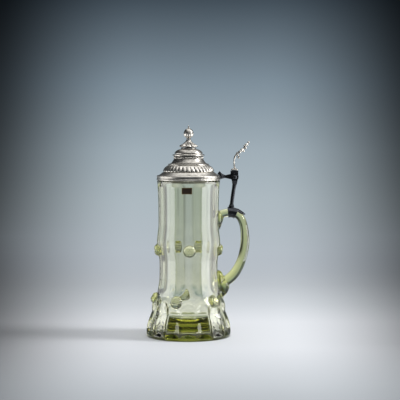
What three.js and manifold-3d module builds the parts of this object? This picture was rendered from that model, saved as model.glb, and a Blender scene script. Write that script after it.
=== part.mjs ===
// Lidded glass beer mug: a panelled glass vessel on a fluted, hollow foot, with two
// rows of raspberry prunts and a glass loop handle, and a stepped pewter lid that
// turns on a knuckled hinge carried by the handle.
// Millimetres, +Z up. The origin is the centre of the flat base, the handle is
// on +X and the hinge pin lies along Y. Angles round the vessel start at the
// front, -Y, and grow towards the handle.

import * as THREE from 'three';
import { mergeVertices } from 'three/addons/utils/BufferGeometryUtils.js';
import Module from 'manifold-3d';

const wasm = await Module();
wasm.setup();

// Clearance between pieces that touch on the real object
const seatGap = 0.3;

// Vessel outline: radii are measured to the middle of a panel, and in the foot to
// the arrises between the flutes
const vesselHeight = 187;
const standRadius = 49.5;
const baseEdge = 2;
const footSwell = 1.9;
const footRadius = standRadius + footSwell;
const footCrestHeight = 7;
const pinchRadius = 44.6;
const pinchHeight = 30;
const upperTierRadius = 44.9;
const upperTierRise = 6;
const tierTopRadius = 38.5;
const tierTopRise = 14;
const waistRadius = 34.6;
const waistRise = 38;
const bulgeRadius = 37.7;
const bulgeRise = 27;
const neckRadius = 35.9;
const neckRise = 19;
const flareRadius = 36.7;
const flareDrop = 8.6;
const lipRadius = 37.9;
const lipRound = 1.2;

// Vessel walls, and the floor: a raised boss with a channel round it
const bodyWall = 3.8;
const footWall = 4;
const bossHeight = 23.3;
const bossRadius = 26.3;
const bossTaper = 2.5;
const bossEdge = 1.2;
const bossFillet = 2.4;
const channelHeight = 6;
const channelCurve = 5;

// Panels of the body and flutes of the foot
const panelCount = 8;
const cornerSharpness = 40;
const fluteCount = 16;
const footFluteDepth = 3.5;
const pinchFluteDepth = 1.7;
const upperFluteDepth = 2.9;
const boreFluting = 0.9;
const baseBand = 3;
const ringRise = 5;
const ringOverhang = 1.5;
const ringTopSlope = 0.62;

// Raspberry prunts
const pruntRadius = 7.2;
const pruntHeight = 4.2;
const pruntNub = 0.5;
const upperPruntHeight = 104.5;
const lowerPruntHeight = 44.5;
const upperPruntAngles = [2, 74, 146, 218, 290];
const lowerPruntAngles = [-92, -20, 46, 117, 188];

// Glass handle
const upperRootHeight = 144.5;
const shoulderHeight = 152.4;
const shoulderReach = 51.4;
const bowHeight = 115.4;
const bowReach = 67.7;
const bowDrop = 19.4;
const kneeReach = 57;
const lowerRootHeight = 64;
const rootDepth = 1.5;
const rodRadius = 4.8;
const bowRodRadius = 5.4;
const lowRodRadius = 6.3;
const upperPad = [5, 7.5, 9.5];
const upperPadDrop = 3.5;
const upperTailDrop = 2;
const upperTail = 14.5;
const upperTailThickness = 3.4;
const lowerPad = [7.5, 9, 13.5];
const lowerPadRise = 1.5;
const lowerTail = 17;
const lowerTailThickness = 7;
const heelBulge = 9;

// Pewter collar with its leaf, and the post up to the hinge
const collarSetback = 12;
const collarLength = 10.5;
const collarWall = 1.1;
const collarLip = 0.5;
const leafLength = 9;
const leafWidth = 10.5;
const leafThickness = 1.3;
const leafLift = 1.6;
const postRadius = 2.3;
const postFootRadius = 3.7;

// Hinge
const hingeOffset = 17.3;
const hingeRise = 4;
const hingeWidth = 13;
const knuckleCount = 5;
const postBarrelRadius = 4.5;
const lidBarrelRadius = 4.9;
const pinRadius = 1.3;
const pinHeadRadius = 2.5;
const pinHeadHeight = 1.5;
const blockHeight = 7.8;
const blockBack = 4.2;
const slotDepth = 6.4;
const headDepth = 8.9;
const headFootWidth = 5.2;
const armRise = 4.3;
const armRootHeight = 6.9;
const armShoulder = 8;
const armShoulderHeight = 4.8;
const armNeckHeight = 3.4;
const armNeckWidth = 5;
const fishtailWidth = 13;
const fishtailFoot = 2.7;
const fishtailTip = 6.6;
const fishtailReach = 3.8;

// Pewter lid: each tier gives its outer radius and its height
const lidWall = 1.8;
const rimRadius = 38.3;
const rimHeight = 5.8;
const flangeRadius = 31;
const flangeRise = 3.7;
const locatingDepth = 3.2;
const locatingClearance = 0.5;
const gadroonCount = 36;
const gadroonDepth = 0.8;
const gadroonTopRadius = 24.9;
const gadroonRise = 8.2;
const drumFootRadius = 21;
const drumRadius = 17.4;
const drumRise = 12.6;
const ringRadius = 19.3;
const ringBead = 0.9;
const crownRadius = 16.8;
const crownTopRadius = 9;
const crownRise = 7.6;
const calyxRadius = 11.4;
const calyxRise = 10;
const calyxNeckRadius = 2.8;
const petalCount = 8;
const knobRadius = 6.1;
const knobNeck = 1;
const spikeRadius = 0.9;
const spikeHeight = 3.6;
const spigotRadius = 3;
const spigotDepth = 1.3;

// Thumblift
const liftHeight = 34;
const liftReach = 17;
const liftWidth = 13;
const liftStemWidth = 4.6;
const liftThickness = 2;
const liftFoot = 1.6;

// How finely round forms are drawn
const fluteSteps = 4;
const boreSegments = 32;
const pruntSegments = 10;
const rodSides = 10;
const rimSegments = 28;
const shellSegments = 28;
const smallSegments = 20;

const quarterTurn = Math.PI / 2;
const radians = THREE.MathUtils.degToRad;
const vec = (x, y, z) => new THREE.Vector3(x, y, z);
const flat = (x, y) => new THREE.Vector2(x, y);

// Shared helpers: closed meshes, solids and curves

function turnedOut(geometry) {
  const place = geometry.attributes.position;
  const index = geometry.index.array;
  const corner = [vec(0, 0, 0), vec(0, 0, 0), vec(0, 0, 0)];
  let volume = 0;
  for (let i = 0; i < index.length; i += 3) {
    corner.forEach((point, k) => point.fromBufferAttribute(place, index[i + k]));
    volume += corner[0].dot(corner[1].clone().cross(corner[2]));
  }
  if (volume < 0) {
    for (let i = 0; i < index.length; i += 3) {
      [index[i], index[i + 1]] = [index[i + 1], index[i]];
    }
  }
  return geometry;
}

function closed(geometry) {
  const bare = geometry.clone();
  bare.deleteAttribute('normal');
  bare.deleteAttribute('uv');
  const merged = mergeVertices(bare, 1e-4);
  const kept = [];
  const index = merged.index.array;
  for (let i = 0; i < index.length; i += 3) {
    const [a, b, c] = index.slice(i, i + 3);
    if (a !== b && b !== c && c !== a) {
      kept.push(a, b, c);
    }
  }
  merged.setIndex(kept);
  return turnedOut(merged);
}

function solid(geometry) {
  const body = closed(geometry);
  return new wasm.Manifold(new wasm.Mesh({
    numProp: 3,
    vertProperties: new Float32Array(body.attributes.position.array),
    triVerts: new Uint32Array(body.index.array),
  }));
}

function meshed(name, manifold, finish) {
  const result = manifold.getMesh();
  const geometry = new THREE.BufferGeometry();
  geometry.setAttribute('position', new THREE.BufferAttribute(result.vertProperties, 3));
  geometry.setIndex(new THREE.BufferAttribute(result.triVerts, 1));
  geometry.computeVertexNormals();
  const mesh = new THREE.Mesh(geometry, new THREE.MeshStandardMaterial(finish));
  mesh.name = name;
  return mesh;
}

// A turned form about the Z axis, from [radius, height] points
function turned(points, segments) {
  const profile = points.map(([radius, height]) => flat(radius, height));
  return new THREE.LatheGeometry(profile, segments).rotateX(quarterTurn);
}

// A profile that returns to its first point, for a ring that is open in the middle
const looped = (points) => [...points, points[0]];

// Moves each point of a turned form out or in, by its radius, angle and height
function reshaped(geometry, newRadius) {
  const place = geometry.attributes.position;
  for (let i = 0; i < place.count; i += 1) {
    const [x, y, z] = [place.getX(i), place.getY(i), place.getZ(i)];
    const radius = Math.hypot(x, y);
    if (radius > 1e-6) {
      const scale = newRadius(radius, Math.atan2(x, -y), z) / radius;
      place.setXY(i, x * scale, y * scale);
    }
  }
  return geometry;
}

// Points on a quarter of an ellipse, from one angle to another
function ellipsePoints(centre, across, up, from, to, steps) {
  return Array.from({ length: steps + 1 }, (_, i) => {
    const angle = radians(from + ((to - from) * i) / steps);
    return [centre[0] + across * Math.cos(angle), centre[1] + up * Math.sin(angle)];
  });
}

// Smooth values between stations [place, value, slope before, slope after]
function blended(stations, place) {
  const last = stations.length - 1;
  if (place <= stations[0][0]) {
    return stations[0][1];
  }
  if (place >= stations[last][0]) {
    return stations[last][1];
  }
  const next = stations.findIndex((station) => station[0] > place);
  const [z0, r0, , slope0 = 0] = stations[next - 1];
  const [z1, r1, slope1 = 0] = stations[next];
  const span = z1 - z0;
  const t = (place - z0) / span;
  const rise = t * t * (3 - 2 * t);
  return r0 + (r1 - r0) * rise + span * (slope0 * t * (1 - t) ** 2 - slope1 * t * t * (1 - t));
}

// A closed rod along a curve in the XZ plane, thick in the plane and wide in Y
function swept(curve, steps, sides, thickness, width = thickness) {
  const points = [];
  for (let i = 0; i <= steps; i += 1) {
    const along = i / steps;
    const centre = curve.getPointAt(along);
    const heading = curve.getTangentAt(along);
    const outward = vec(-heading.z, 0, heading.x);
    for (let k = 0; k < sides; k += 1) {
      const turn = (2 * Math.PI * k) / sides;
      const point = centre.clone().addScaledVector(outward, thickness(along) * Math.cos(turn));
      points.push(point.setY(point.y + width(along) * Math.sin(turn)));
    }
  }
  const index = [];
  for (let i = 0; i < steps; i += 1) {
    for (let k = 0; k < sides; k += 1) {
      const [a, b] = [i * sides + k, i * sides + ((k + 1) % sides)];
      index.push(a, b, b + sides, a, b + sides, a + sides);
    }
  }
  const last = steps * sides;
  for (let k = 1; k < sides - 1; k += 1) {
    index.push(0, k + 1, k, last, last + k, last + k + 1);
  }
  const geometry = new THREE.BufferGeometry().setFromPoints(points);
  geometry.setIndex(index);
  return geometry;
}

// A plate with an outline in the XZ plane, centred on Y
function plate(outline, width) {
  const depth = { depth: width, bevelEnabled: false, curveSegments: 10 };
  return new THREE.ExtrudeGeometry(outline, depth).rotateX(quarterTurn).translate(0, width / 2, 0);
}

function outlineOf(points) {
  return new THREE.Shape(points.map(([x, z]) => flat(x, z)));
}

function block(low, high) {
  const size = high.map((value, axis) => value - low[axis]);
  const middle = high.map((value, axis) => (value + low[axis]) / 2);
  return new THREE.BoxGeometry(...size).translate(...middle);
}

function ball(centre, halfAxes, around = 12, rows = 8) {
  return new THREE.SphereGeometry(1, around, rows).scale(...halfAxes).translate(...centre);
}

// Glass vessel

const upperTierHeight = pinchHeight + upperTierRise;
const tierTopHeight = upperTierHeight + tierTopRise;
const waistHeight = tierTopHeight + waistRise;
const bulgeHeight = waistHeight + bulgeRise;
const neckHeight = bulgeHeight + neckRise;
const flareHeight = vesselHeight - flareDrop;

const outerStations = [
  [0, standRadius, 0, 0.4],
  [footCrestHeight, footRadius],
  [pinchHeight, pinchRadius, -0.45, 0.1],
  [upperTierHeight, upperTierRadius],
  [tierTopHeight, tierTopRadius, -0.32, -0.32],
  [waistHeight, waistRadius],
  [bulgeHeight, bulgeRadius],
  [neckHeight, neckRadius],
  [flareHeight, flareRadius, 0.06, 0.16],
  [vesselHeight, lipRadius, 0.05],
];
const ringRows = [baseBand, baseBand + ringRise / 2, baseBand + ringRise];
const outerRows = [1, 4, 2, 4, 2, 2, 2, 1, 2];
const boreRows = [1, 3, 1, 2, 2, 2, 1, 1, 1];

const wallStations = [[channelHeight, footWall], [tierTopHeight, bodyWall]];

const fluteStations = [
  [footCrestHeight, footFluteDepth],
  [pinchHeight, pinchFluteDepth],
  [upperTierHeight, upperFluteDepth],
];
const boreFluteStations = [[upperTierHeight, boreFluting], [tierTopHeight, 0]];

const panelStations = [
  [tierTopHeight - 2, 0],
  [tierTopHeight + 6, 1],
  [vesselHeight - 8, 1],
  [vesselHeight - 2, 0],
];

const outlineRadius = (height) => blended(outerStations, height);
const boreRadius = (height) => outlineRadius(height) - blended(wallStations, height);

// How far a rounded eight-sided section stands out beyond its panels
function panelFactor(angle) {
  let sum = 0;
  for (let i = 0; i < panelCount; i += 1) {
    const facing = Math.cos(angle - (2 * Math.PI * i) / panelCount);
    sum += Math.max(0, facing) ** cornerSharpness;
  }
  return sum ** (-1 / cornerSharpness);
}

// A flute is a hollow scoop between two sharp arrises
function fluteScoop(angle, height) {
  return blended(fluteStations, height) * Math.abs(Math.cos((angle * fluteCount) / 2)) ** 1.1;
}

// The wall's radius where the plain outline, grown by a clearance, has the given
// radius. A flute's upper end runs out in an arch where the outline draws in, and
// its lower end stands on a ring with a sloping top.
function wallRadius(outline, angle, height, grow = 0) {
  if (height < baseBand) {
    return outline;
  }
  const panels = 1 + (panelFactor(angle) - 1) * blended(panelStations, height);
  const arris = height > upperTierHeight ? upperTierRadius + grow : outline;
  const scoop = arris - fluteScoop(angle, height);
  const ring = standRadius + ringOverhang + grow - ringTopSlope * (height - baseBand);
  return Math.max(Math.min(outline * panels, scoop), ring);
}

const surfaceRadius = (angle, height) => wallRadius(outlineRadius(height), angle, height);

function stretchHeights(rowsPerStretch) {
  const heights = [];
  rowsPerStretch.forEach((rows, i) => {
    const [low, high] = [outerStations[i][0], outerStations[i + 1][0]];
    for (let k = 0; k < rows; k += 1) {
      heights.push(low + ((high - low) * k) / rows);
    }
  });
  return heights;
}

// The vessel as a full body, grown on all sides by a clearance
function vesselBody(grow) {
  const edge = baseEdge + grow;
  const base = ellipsePoints([standRadius - baseEdge, baseEdge], edge, edge, -90, -15, 3);
  const aboveRing = stretchHeights(outerRows).filter((height) => height > ringRows[2] + 1);
  const wall = [...ringRows, ...aboveRing].map((height) => [outlineRadius(height) + grow, height]);
  const top = vesselHeight + grow;
  const profile = [
    [0, -grow],
    ...base,
    ...wall,
    [lipRadius + grow, top - lipRound],
    [lipRadius + grow - lipRound, top],
    [0, top],
  ];
  const form = turned(profile, fluteCount * fluteSteps);
  return solid(reshaped(form, (radius, angle, height) => wallRadius(radius, angle, height, grow)));
}

// The space inside: down the wall, round the channel and over the boss. In the foot
// it follows the flutes outside.
function vesselBore() {
  const curveTop = channelHeight + channelCurve;
  const channelOuter = boreRadius(curveTop) - channelCurve;
  const bossFoot = bossRadius + bossTaper;
  const fluted = (radius, angle, height) => {
    const share = radius > bossFoot + bossFillet ? blended(boreFluteStations, height) : 0;
    return radius - share * fluteScoop(angle, height);
  };
  const boss = [
    [0, bossHeight],
    [bossRadius - bossEdge, bossHeight],
    [bossRadius, bossHeight - bossEdge],
    [bossFoot, channelHeight + bossFillet],
    [bossFoot + bossFillet, channelHeight],
  ];
  const channel = ellipsePoints([channelOuter, curveTop], channelCurve, channelCurve, -90, 0, 3);
  const wall = stretchHeights(boreRows)
    .filter((height) => height > curveTop + channelCurve / 2)
    .map((height) => [boreRadius(height), height]);
  const mouth = boreRadius(vesselHeight);
  const rounding = [
    [mouth, vesselHeight - lipRound],
    [mouth + lipRound, vesselHeight],
    [mouth + lipRound, vesselHeight + 1],
    [0, vesselHeight + 1],
  ];
  const form = turned([...boss, ...channel, ...wall, ...rounding], boreSegments);
  return solid(reshaped(form, fluted));
}

const cutBody = vesselBody(seatGap);

// Prunts: glass drops pressed with a nubbed stamp, each seated on the wall

function pruntForm() {
  const profile = [
    [0, -pruntHeight],
    [pruntRadius, -pruntHeight],
    [pruntRadius, pruntHeight * 0.2],
    [pruntRadius * 0.92, pruntHeight * 0.48],
    [pruntRadius * 0.75, pruntHeight * 0.78],
    [pruntRadius * 0.55, pruntHeight * 0.74],
    [pruntRadius * 0.36, pruntHeight * 0.94],
    [0, pruntHeight],
  ];
  const form = turned(profile, pruntSegments);
  const place = form.attributes.position;
  for (let i = 0; i < place.count; i += 1) {
    const radius = Math.hypot(place.getX(i), place.getY(i)) / pruntRadius;
    const angle = Math.atan2(place.getX(i), -place.getY(i));
    const outer = Math.abs(radius - 0.75) < 0.01 ? Math.cos((pruntSegments / 2) * angle) : 0;
    const inner = Math.abs(radius - 0.36) < 0.01 ? Math.cos((pruntSegments / 4) * angle) : 0;
    place.setZ(i, place.getZ(i) + pruntNub * (outer + inner));
  }
  return form;
}

function prunt(degrees, height) {
  const angle = radians(degrees);
  const radius = surfaceRadius(angle, height);
  const slope = (outlineRadius(height + 1) - outlineRadius(height - 1)) / 2;
  const tilt = Math.atan(-slope) / 2;
  const form = pruntForm()
    .rotateX(quarterTurn - tilt)
    .translate(0, -radius, height)
    .rotateZ(angle);
  return solid(form).subtract(cutBody);
}

// Glass handle: one rod, drawn out on the wall at both ends

const rootRadius = (height) => surfaceRadius(quarterTurn, height);

const handleCurve = new THREE.CurvePath();
handleCurve.add(new THREE.CubicBezierCurve3(
  vec(rootRadius(upperRootHeight) - rootDepth, 0, upperRootHeight),
  vec(shoulderReach, 0, shoulderHeight),
  vec(bowReach, 0, shoulderHeight),
  vec(bowReach, 0, bowHeight),
));
handleCurve.add(new THREE.CubicBezierCurve3(
  vec(bowReach, 0, bowHeight),
  vec(bowReach, 0, bowHeight - bowDrop),
  vec(kneeReach, 0, lowerRootHeight - 1),
  vec(rootRadius(lowerRootHeight) - rootDepth, 0, lowerRootHeight),
));
const handleLength = handleCurve.getLength();

const rodStations = [[0, rodRadius], [0.28, rodRadius], [0.55, bowRodRadius], [1, lowRodRadius]];
const rodAt = (along) => blended(rodStations, along);

function handleRod(grow) {
  return solid(swept(handleCurve, 20, rodSides, (along) => rodAt(along) + grow));
}

// Glass pressed on the wall where the rod meets it, its middle at a height
function pad(height, halfAxes) {
  return solid(ball([rootRadius(height), 0, height], halfAxes));
}

// A tail of glass drawn down the wall below a root, bulging from it half way down
function pulledTail(rootHeight, length, bulge, thickness) {
  const [middle, end] = [rootHeight - length / 2, rootHeight - length];
  const curve = new THREE.QuadraticBezierCurve3(
    vec(rootRadius(rootHeight) + 0.8 * thickness, 0, rootHeight),
    vec(rootRadius(middle) + bulge, 0, middle),
    vec(rootRadius(end) + 0.5, 0, end),
  );
  const taper = (along) => thickness * (1 - 0.85 * along ** 1.5);
  return solid(swept(curve, 6, 8, taper, (along) => 1.2 * taper(along)));
}

function handleGlass() {
  const tailRoot = upperRootHeight - upperTailDrop;
  return handleRod(0)
    .add(pad(upperRootHeight - upperPadDrop, upperPad))
    .add(pad(lowerRootHeight + lowerPadRise, lowerPad))
    .add(pulledTail(tailRoot, upperTail, upperTailThickness / 2, upperTailThickness))
    .add(pulledTail(lowerRootHeight, lowerTail, heelBulge, lowerTailThickness))
    .subtract(cutBody);
}

// Pewter collar, cast round the rod, with a leaf that hoods the bend

const collarStart = rootDepth + collarSetback;
const collarEnd = collarStart + collarLength;
const collarRadius = rodRadius + seatGap + collarWall;
const rodPoint = (distance) => handleCurve.getPointAt(distance / handleLength);

function rodOutward(distance) {
  const heading = handleCurve.getTangentAt(distance / handleLength);
  return vec(-heading.z, 0, heading.x);
}

// A sleeve's solid round a stretch of the rod
function sleeve(start, length, steps, thickness) {
  const centres = Array.from({ length: steps + 1 }, (_, i) => rodPoint(start + (length * i) / steps));
  return solid(swept(new THREE.CatmullRomCurve3(centres), steps, rodSides, thickness));
}

function collarForm(grow) {
  const lip = (along) => collarLip * Math.abs(2 * along - 1) ** 8;
  const thickness = (along) => collarRadius + grow + lip(along);
  return sleeve(collarStart - grow, collarLength + 2 * grow, 6, thickness);
}

// The leaf is the part of a flaring sleeve that lies in a ball over the bend
function collarLeaf() {
  const start = collarEnd - 1;
  const inside = (along) => rodRadius + seatGap + leafLift * along ** 2;
  const flare = sleeve(start, leafLength, 6, (along) => inside(along) + leafThickness)
    .subtract(sleeve(start - 1, leafLength + 2, 6, inside));
  const middle = start + 0.36 * leafLength;
  const outward = rodOutward(middle);
  const place = rodPoint(middle).addScaledVector(outward, rodRadius + leafThickness);
  const outline = ball([0, 0, 0], [leafLength * 0.72, leafWidth / 2, rodRadius + leafLift], 12, 8)
    .rotateY(Math.atan2(outward.x, outward.z))
    .translate(place.x, 0, place.z);
  return flare.intersect(solid(outline));
}

const handleCollar = () => collarForm(0).add(collarLeaf()).subtract(handleRod(seatGap));

// Hinge: five knuckles on one pin, three on the post and two on the lid

const lidBase = vesselHeight + seatGap;
const hingeX = lipRadius + hingeOffset;
const hingeZ = vesselHeight + hingeRise;
const knucklePitch = hingeWidth / knuckleCount;

// The same outline moved to the hinge axis
const atHinge = (points) => points.map(([x, z]) => [hingeX + x, hingeZ + z]);

// Boxes over every second knuckle, from the first one given, past the outer faces
function knuckleSlots(first, low, high) {
  let slots = null;
  for (let i = first; i < knuckleCount; i += 2) {
    const start = -hingeWidth / 2 + i * knucklePitch - seatGap / 2;
    const end = start + knucklePitch + seatGap;
    const box = solid(block(
      [hingeX - lidBarrelRadius - 0.1, i === 0 ? start - 1 : start, hingeZ + low],
      [hingeX + hingeWidth, i === knuckleCount - 1 ? end + 1 : end, hingeZ + high],
    ));
    slots = slots ? slots.add(box) : box;
  }
  return slots;
}

function pinRod(radius, length) {
  return solid(new THREE.CylinderGeometry(radius, radius, length, 16).translate(hingeX, 0, hingeZ));
}

// The post's head: a barrel that narrows to its foot, seen from the side and the front
function postHead() {
  const foot = headFootWidth / 2;
  const side = outlineOf(atHinge([
    ...ellipsePoints([0, 0], postBarrelRadius, postBarrelRadius, -35, 215, 10),
    [-foot, -headDepth],
    [foot, -headDepth],
  ]));
  const front = outlineOf([
    [-hingeWidth / 2, hingeZ + postBarrelRadius],
    [-hingeWidth / 2, hingeZ - postBarrelRadius],
    [-foot, hingeZ - headDepth],
    [foot, hingeZ - headDepth],
    [hingeWidth / 2, hingeZ - postBarrelRadius],
    [hingeWidth / 2, hingeZ + postBarrelRadius],
  ]);
  const across = plate(front, 4 * hingeWidth).rotateZ(quarterTurn).translate(hingeX, 0, 0);
  return solid(plate(side, hingeWidth))
    .intersect(solid(across))
    .subtract(knuckleSlots(1, -slotDepth, hingeWidth));
}

function hingePost() {
  const seat = collarStart + collarLength * 0.35;
  const foot = rodPoint(seat).addScaledVector(rodOutward(seat), rodRadius + seatGap);
  const top = vec(hingeX, 0, hingeZ - headDepth + 1);
  const curve = new THREE.QuadraticBezierCurve3(
    foot,
    vec((foot.x + top.x) / 2 - 0.6, 0, (foot.z + top.z) / 2),
    top,
  );
  const length = curve.getLength();
  const radius = (along) => blended([
    [0, postFootRadius],
    [1.6, postFootRadius],
    [4.2, postRadius],
    [length - 3, postRadius],
    [length - 1.8, postRadius + 0.7],
    [length - 0.6, postRadius],
  ], along * length);
  return solid(swept(curve, 12, 8, radius))
    .add(postHead())
    .subtract(collarForm(seatGap))
    .subtract(pinRod(pinRadius + seatGap, 2 * hingeWidth));
}

function hingePin() {
  const face = hingeWidth / 2 + seatGap;
  const end = face + pinHeadHeight;
  const round = pinHeadHeight - 0.5;
  const profile = [
    [0, -end],
    ...ellipsePoints([0, round - end], pinHeadRadius, round, -60, 0, 1),
    [pinHeadRadius, -face],
    [pinRadius, -face],
    [pinRadius, face],
    [pinHeadRadius, face],
    ...ellipsePoints([0, end - round], pinHeadRadius, round, 0, 60, 1),
    [0, end],
  ];
  return solid(turned(profile, rodSides).rotateX(quarterTurn).translate(hingeX, 0, hingeZ));
}

// Lid shells: closed turned sections, stacked with a clearance between seats

const mouthRadius = boreRadius(vesselHeight);
const locatingRadius = mouthRadius - locatingClearance;
const rimTop = lidBase + rimHeight;
const flangeTop = rimTop + flangeRise;
const gadroonBase = flangeTop + seatGap;
const gadroonTop = gadroonBase + gadroonRise;
const drumBase = gadroonTop + seatGap;
const drumTop = drumBase + drumRise;
const crownBase = drumTop + seatGap;
const crownTop = crownBase + crownRise;
const calyxBase = crownTop + seatGap;
const calyxTop = calyxBase + calyxRise;
const knobBase = calyxTop + seatGap;
const knobCentre = knobBase + knobNeck + knobRadius - 0.5;

function rimForm(grow) {
  const edge = rimRadius + grow;
  const innerEdge = flangeRadius - 2.2;
  return solid(turned(looped([
    [locatingRadius - lidWall, lidBase - locatingDepth],
    [locatingRadius, lidBase - locatingDepth],
    [locatingRadius, lidBase - grow],
    [edge - 0.4, lidBase - grow],
    [edge, lidBase + 0.6],
    [edge, rimTop - 0.7 + grow],
    [edge - 0.6, rimTop + grow],
    [edge - 1.6, rimTop + 0.1 + grow],
    [flangeRadius, flangeTop + grow],
    [innerEdge, flangeTop + grow],
    [innerEdge, flangeTop - lidWall],
    [locatingRadius - lidWall, rimTop - lidWall],
  ]), rimSegments));
}

function gadroonedDome() {
  const foot = flangeRadius - 0.4;
  const rise = gadroonTop - gadroonBase;
  const across = foot - gadroonTopRadius;
  const outside = [[0, 0], [0.04, 0.16], [0.24, 0.46], [0.62, 0.78], [1, 0.96]]
    .map(([inward, up]) => [foot - inward * across, gadroonBase + up * rise]);
  const inside = [outside[3], outside[0]].map(([radius, z]) => [radius - lidWall, z]);
  const topInside = gadroonTopRadius - lidWall;
  const profile = looped([
    ...outside, [gadroonTopRadius, gadroonTop], [topInside, gadroonTop], ...inside,
  ]);
  const form = turned(profile, gadroonCount * 2);
  const lobes = [[0.05, 0], [0.3, 1], [0.75, 1], [0.93, 0]];
  return solid(reshaped(form, (radius, angle, height) => {
    const up = (height - gadroonBase) / rise;
    const outer = outside.some(([edge, z]) => Math.abs(z - height) < 0.01 && edge - radius < 0.01);
    const dip = 1 - Math.abs(Math.cos((angle * gadroonCount) / 2));
    return outer ? radius - gadroonDepth * dip * blended(lobes, up) : radius;
  }));
}

function drumShell() {
  const up = (share) => drumBase + share * drumRise;
  const ledge = gadroonTopRadius - 0.3;
  return solid(turned(looped([
    [gadroonTopRadius - lidWall, drumBase],
    [ledge, drumBase],
    [ledge, drumBase + 0.9],
    [drumFootRadius, up(0.18)],
    [(drumFootRadius + drumRadius) / 2 - 0.7, up(0.42)],
    [drumRadius, up(0.72)],
    [drumRadius, up(0.86)],
    ...ellipsePoints([ringRadius - ringBead, up(0.93)], ringBead, ringBead, -60, 60, 2),
    [ringRadius - 1.6 * ringBead, drumTop],
    [drumRadius - lidWall - 0.4, drumTop],
    [drumRadius - lidWall, up(0.7)],
    [drumFootRadius - lidWall - 1.2, up(0.2)],
  ]), shellSegments));
}

function crownShell() {
  const dome = ellipsePoints([0, crownBase + 1], crownRadius, crownRise - 1.4, 8, 56, 4);
  const hollow = ellipsePoints([0, crownBase], crownRadius - lidWall, crownRise - 2.6, 75, 15, 2);
  return solid(turned(looped([
    [crownRadius - lidWall, crownBase],
    [crownRadius, crownBase],
    ...dome,
    [crownTopRadius, crownTop - 0.7],
    [crownTopRadius, crownTop],
    [spigotRadius + seatGap, crownTop],
    [spigotRadius + seatGap, crownTop - lidWall + 0.4],
    ...hollow,
  ]), smallSegments));
}

function calyxForm() {
  const up = (share) => calyxBase + share * calyxRise;
  const bell = [[0.14, 1], [0.3, 0.84], [0.46, 0.6], [0.66, 0.38], [0.84, 0.27]];
  const form = turned([
    [0, crownTop - spigotDepth + seatGap],
    [spigotRadius, crownTop - spigotDepth + seatGap],
    [spigotRadius, calyxBase],
    [crownTopRadius - 0.6, calyxBase],
    ...bell.map(([share, width]) => [calyxRadius * width, up(share)]),
    [calyxNeckRadius, calyxTop],
    [0, calyxTop],
  ], petalCount * 4);
  return solid(reshaped(form, (radius, angle, height) => {
    const share = (height - calyxBase) / calyxRise;
    const petal = Math.abs(Math.cos((angle * petalCount) / 2)) ** 0.7;
    const depth = blended([[0.05, 0], [0.14, 0.16], [0.5, 0.12], [0.85, 0]], share);
    return radius * (1 - depth * (1 - petal));
  }));
}

function knobForm() {
  const sphere = ellipsePoints([0, knobCentre], knobRadius, knobRadius, -66, 72, 7);
  const shoulder = knobCentre + knobRadius;
  return solid(turned([
    [0, knobBase],
    [calyxNeckRadius, knobBase],
    [calyxNeckRadius - 0.4, knobBase + knobNeck * 0.6],
    ...sphere,
    [spikeRadius * 1.4, shoulder + 0.2],
    [spikeRadius, shoulder + 0.5],
    [spikeRadius * 0.5, shoulder + spikeHeight - 0.3],
    [0, shoulder + spikeHeight],
  ], smallSegments * 0.75));
}

// Hinge block of the lid, with its arm and the fishtail seated on the rim

const armNeckX = rimRadius + (hingeX - rimRadius) / 3;

// The arm seen from the side: its half height from the block to the neck, then the
// upswept fishtail and its foot on the rim
function armOutline() {
  const middle = lidBase + armRise;
  const halves = [
    [hingeX - lidBarrelRadius + 1.5, armRootHeight / 2],
    [hingeX - armShoulder, armShoulderHeight / 2],
    [armNeckX, armNeckHeight / 2],
  ];
  return outlineOf([
    ...halves.map(([x, half]) => [x, middle + half]),
    [rimRadius + 2.4, middle + 0.47 * fishtailTip],
    [rimRadius - 1.2, middle + fishtailTip],
    [rimRadius - fishtailReach, middle + 0.44 * fishtailTip],
    [rimRadius - 0.8 * fishtailReach, middle - fishtailFoot],
    [rimRadius + 1, middle - fishtailFoot],
    ...halves.toReversed().map(([x, half]) => [x, middle - half]),
  ]);
}

// The arm seen from above: narrow at the neck, spread on the rim
function armSpread() {
  const end = fishtailWidth / 2;
  const halves = [
    [rimRadius - fishtailReach - 0.2, end],
    [rimRadius + 1, 0.8 * end],
    [armNeckX, armNeckWidth / 2],
    [hingeX, 1.5 * knucklePitch],
  ];
  const outline = outlineOf([
    ...halves.map(([x, half]) => [x, -half]),
    ...halves.toReversed(),
  ]);
  const depth = { depth: 3 * hingeWidth, bevelEnabled: false };
  return new THREE.ExtrudeGeometry(outline, depth).translate(0, 0, lidBase - hingeWidth);
}

function lidBlock() {
  const outline = outlineOf(atHinge([
    [-lidBarrelRadius, blockHeight],
    ...ellipsePoints([0, 0], lidBarrelRadius, lidBarrelRadius, 180, 385, 10),
    [blockBack, blockHeight],
  ]));
  const arm = solid(plate(armOutline(), 2 * hingeWidth)).intersect(solid(armSpread()));
  return solid(plate(outline, hingeWidth))
    .add(arm)
    .subtract(knuckleSlots(0, -hingeWidth, lidBarrelRadius + seatGap))
    .subtract(pinRod(pinRadius + seatGap, 2 * hingeWidth))
    .subtract(rimForm(seatGap));
}

// Thumblift: a leaf on a bent stem, with two openings, a curl and side lobes

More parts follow.
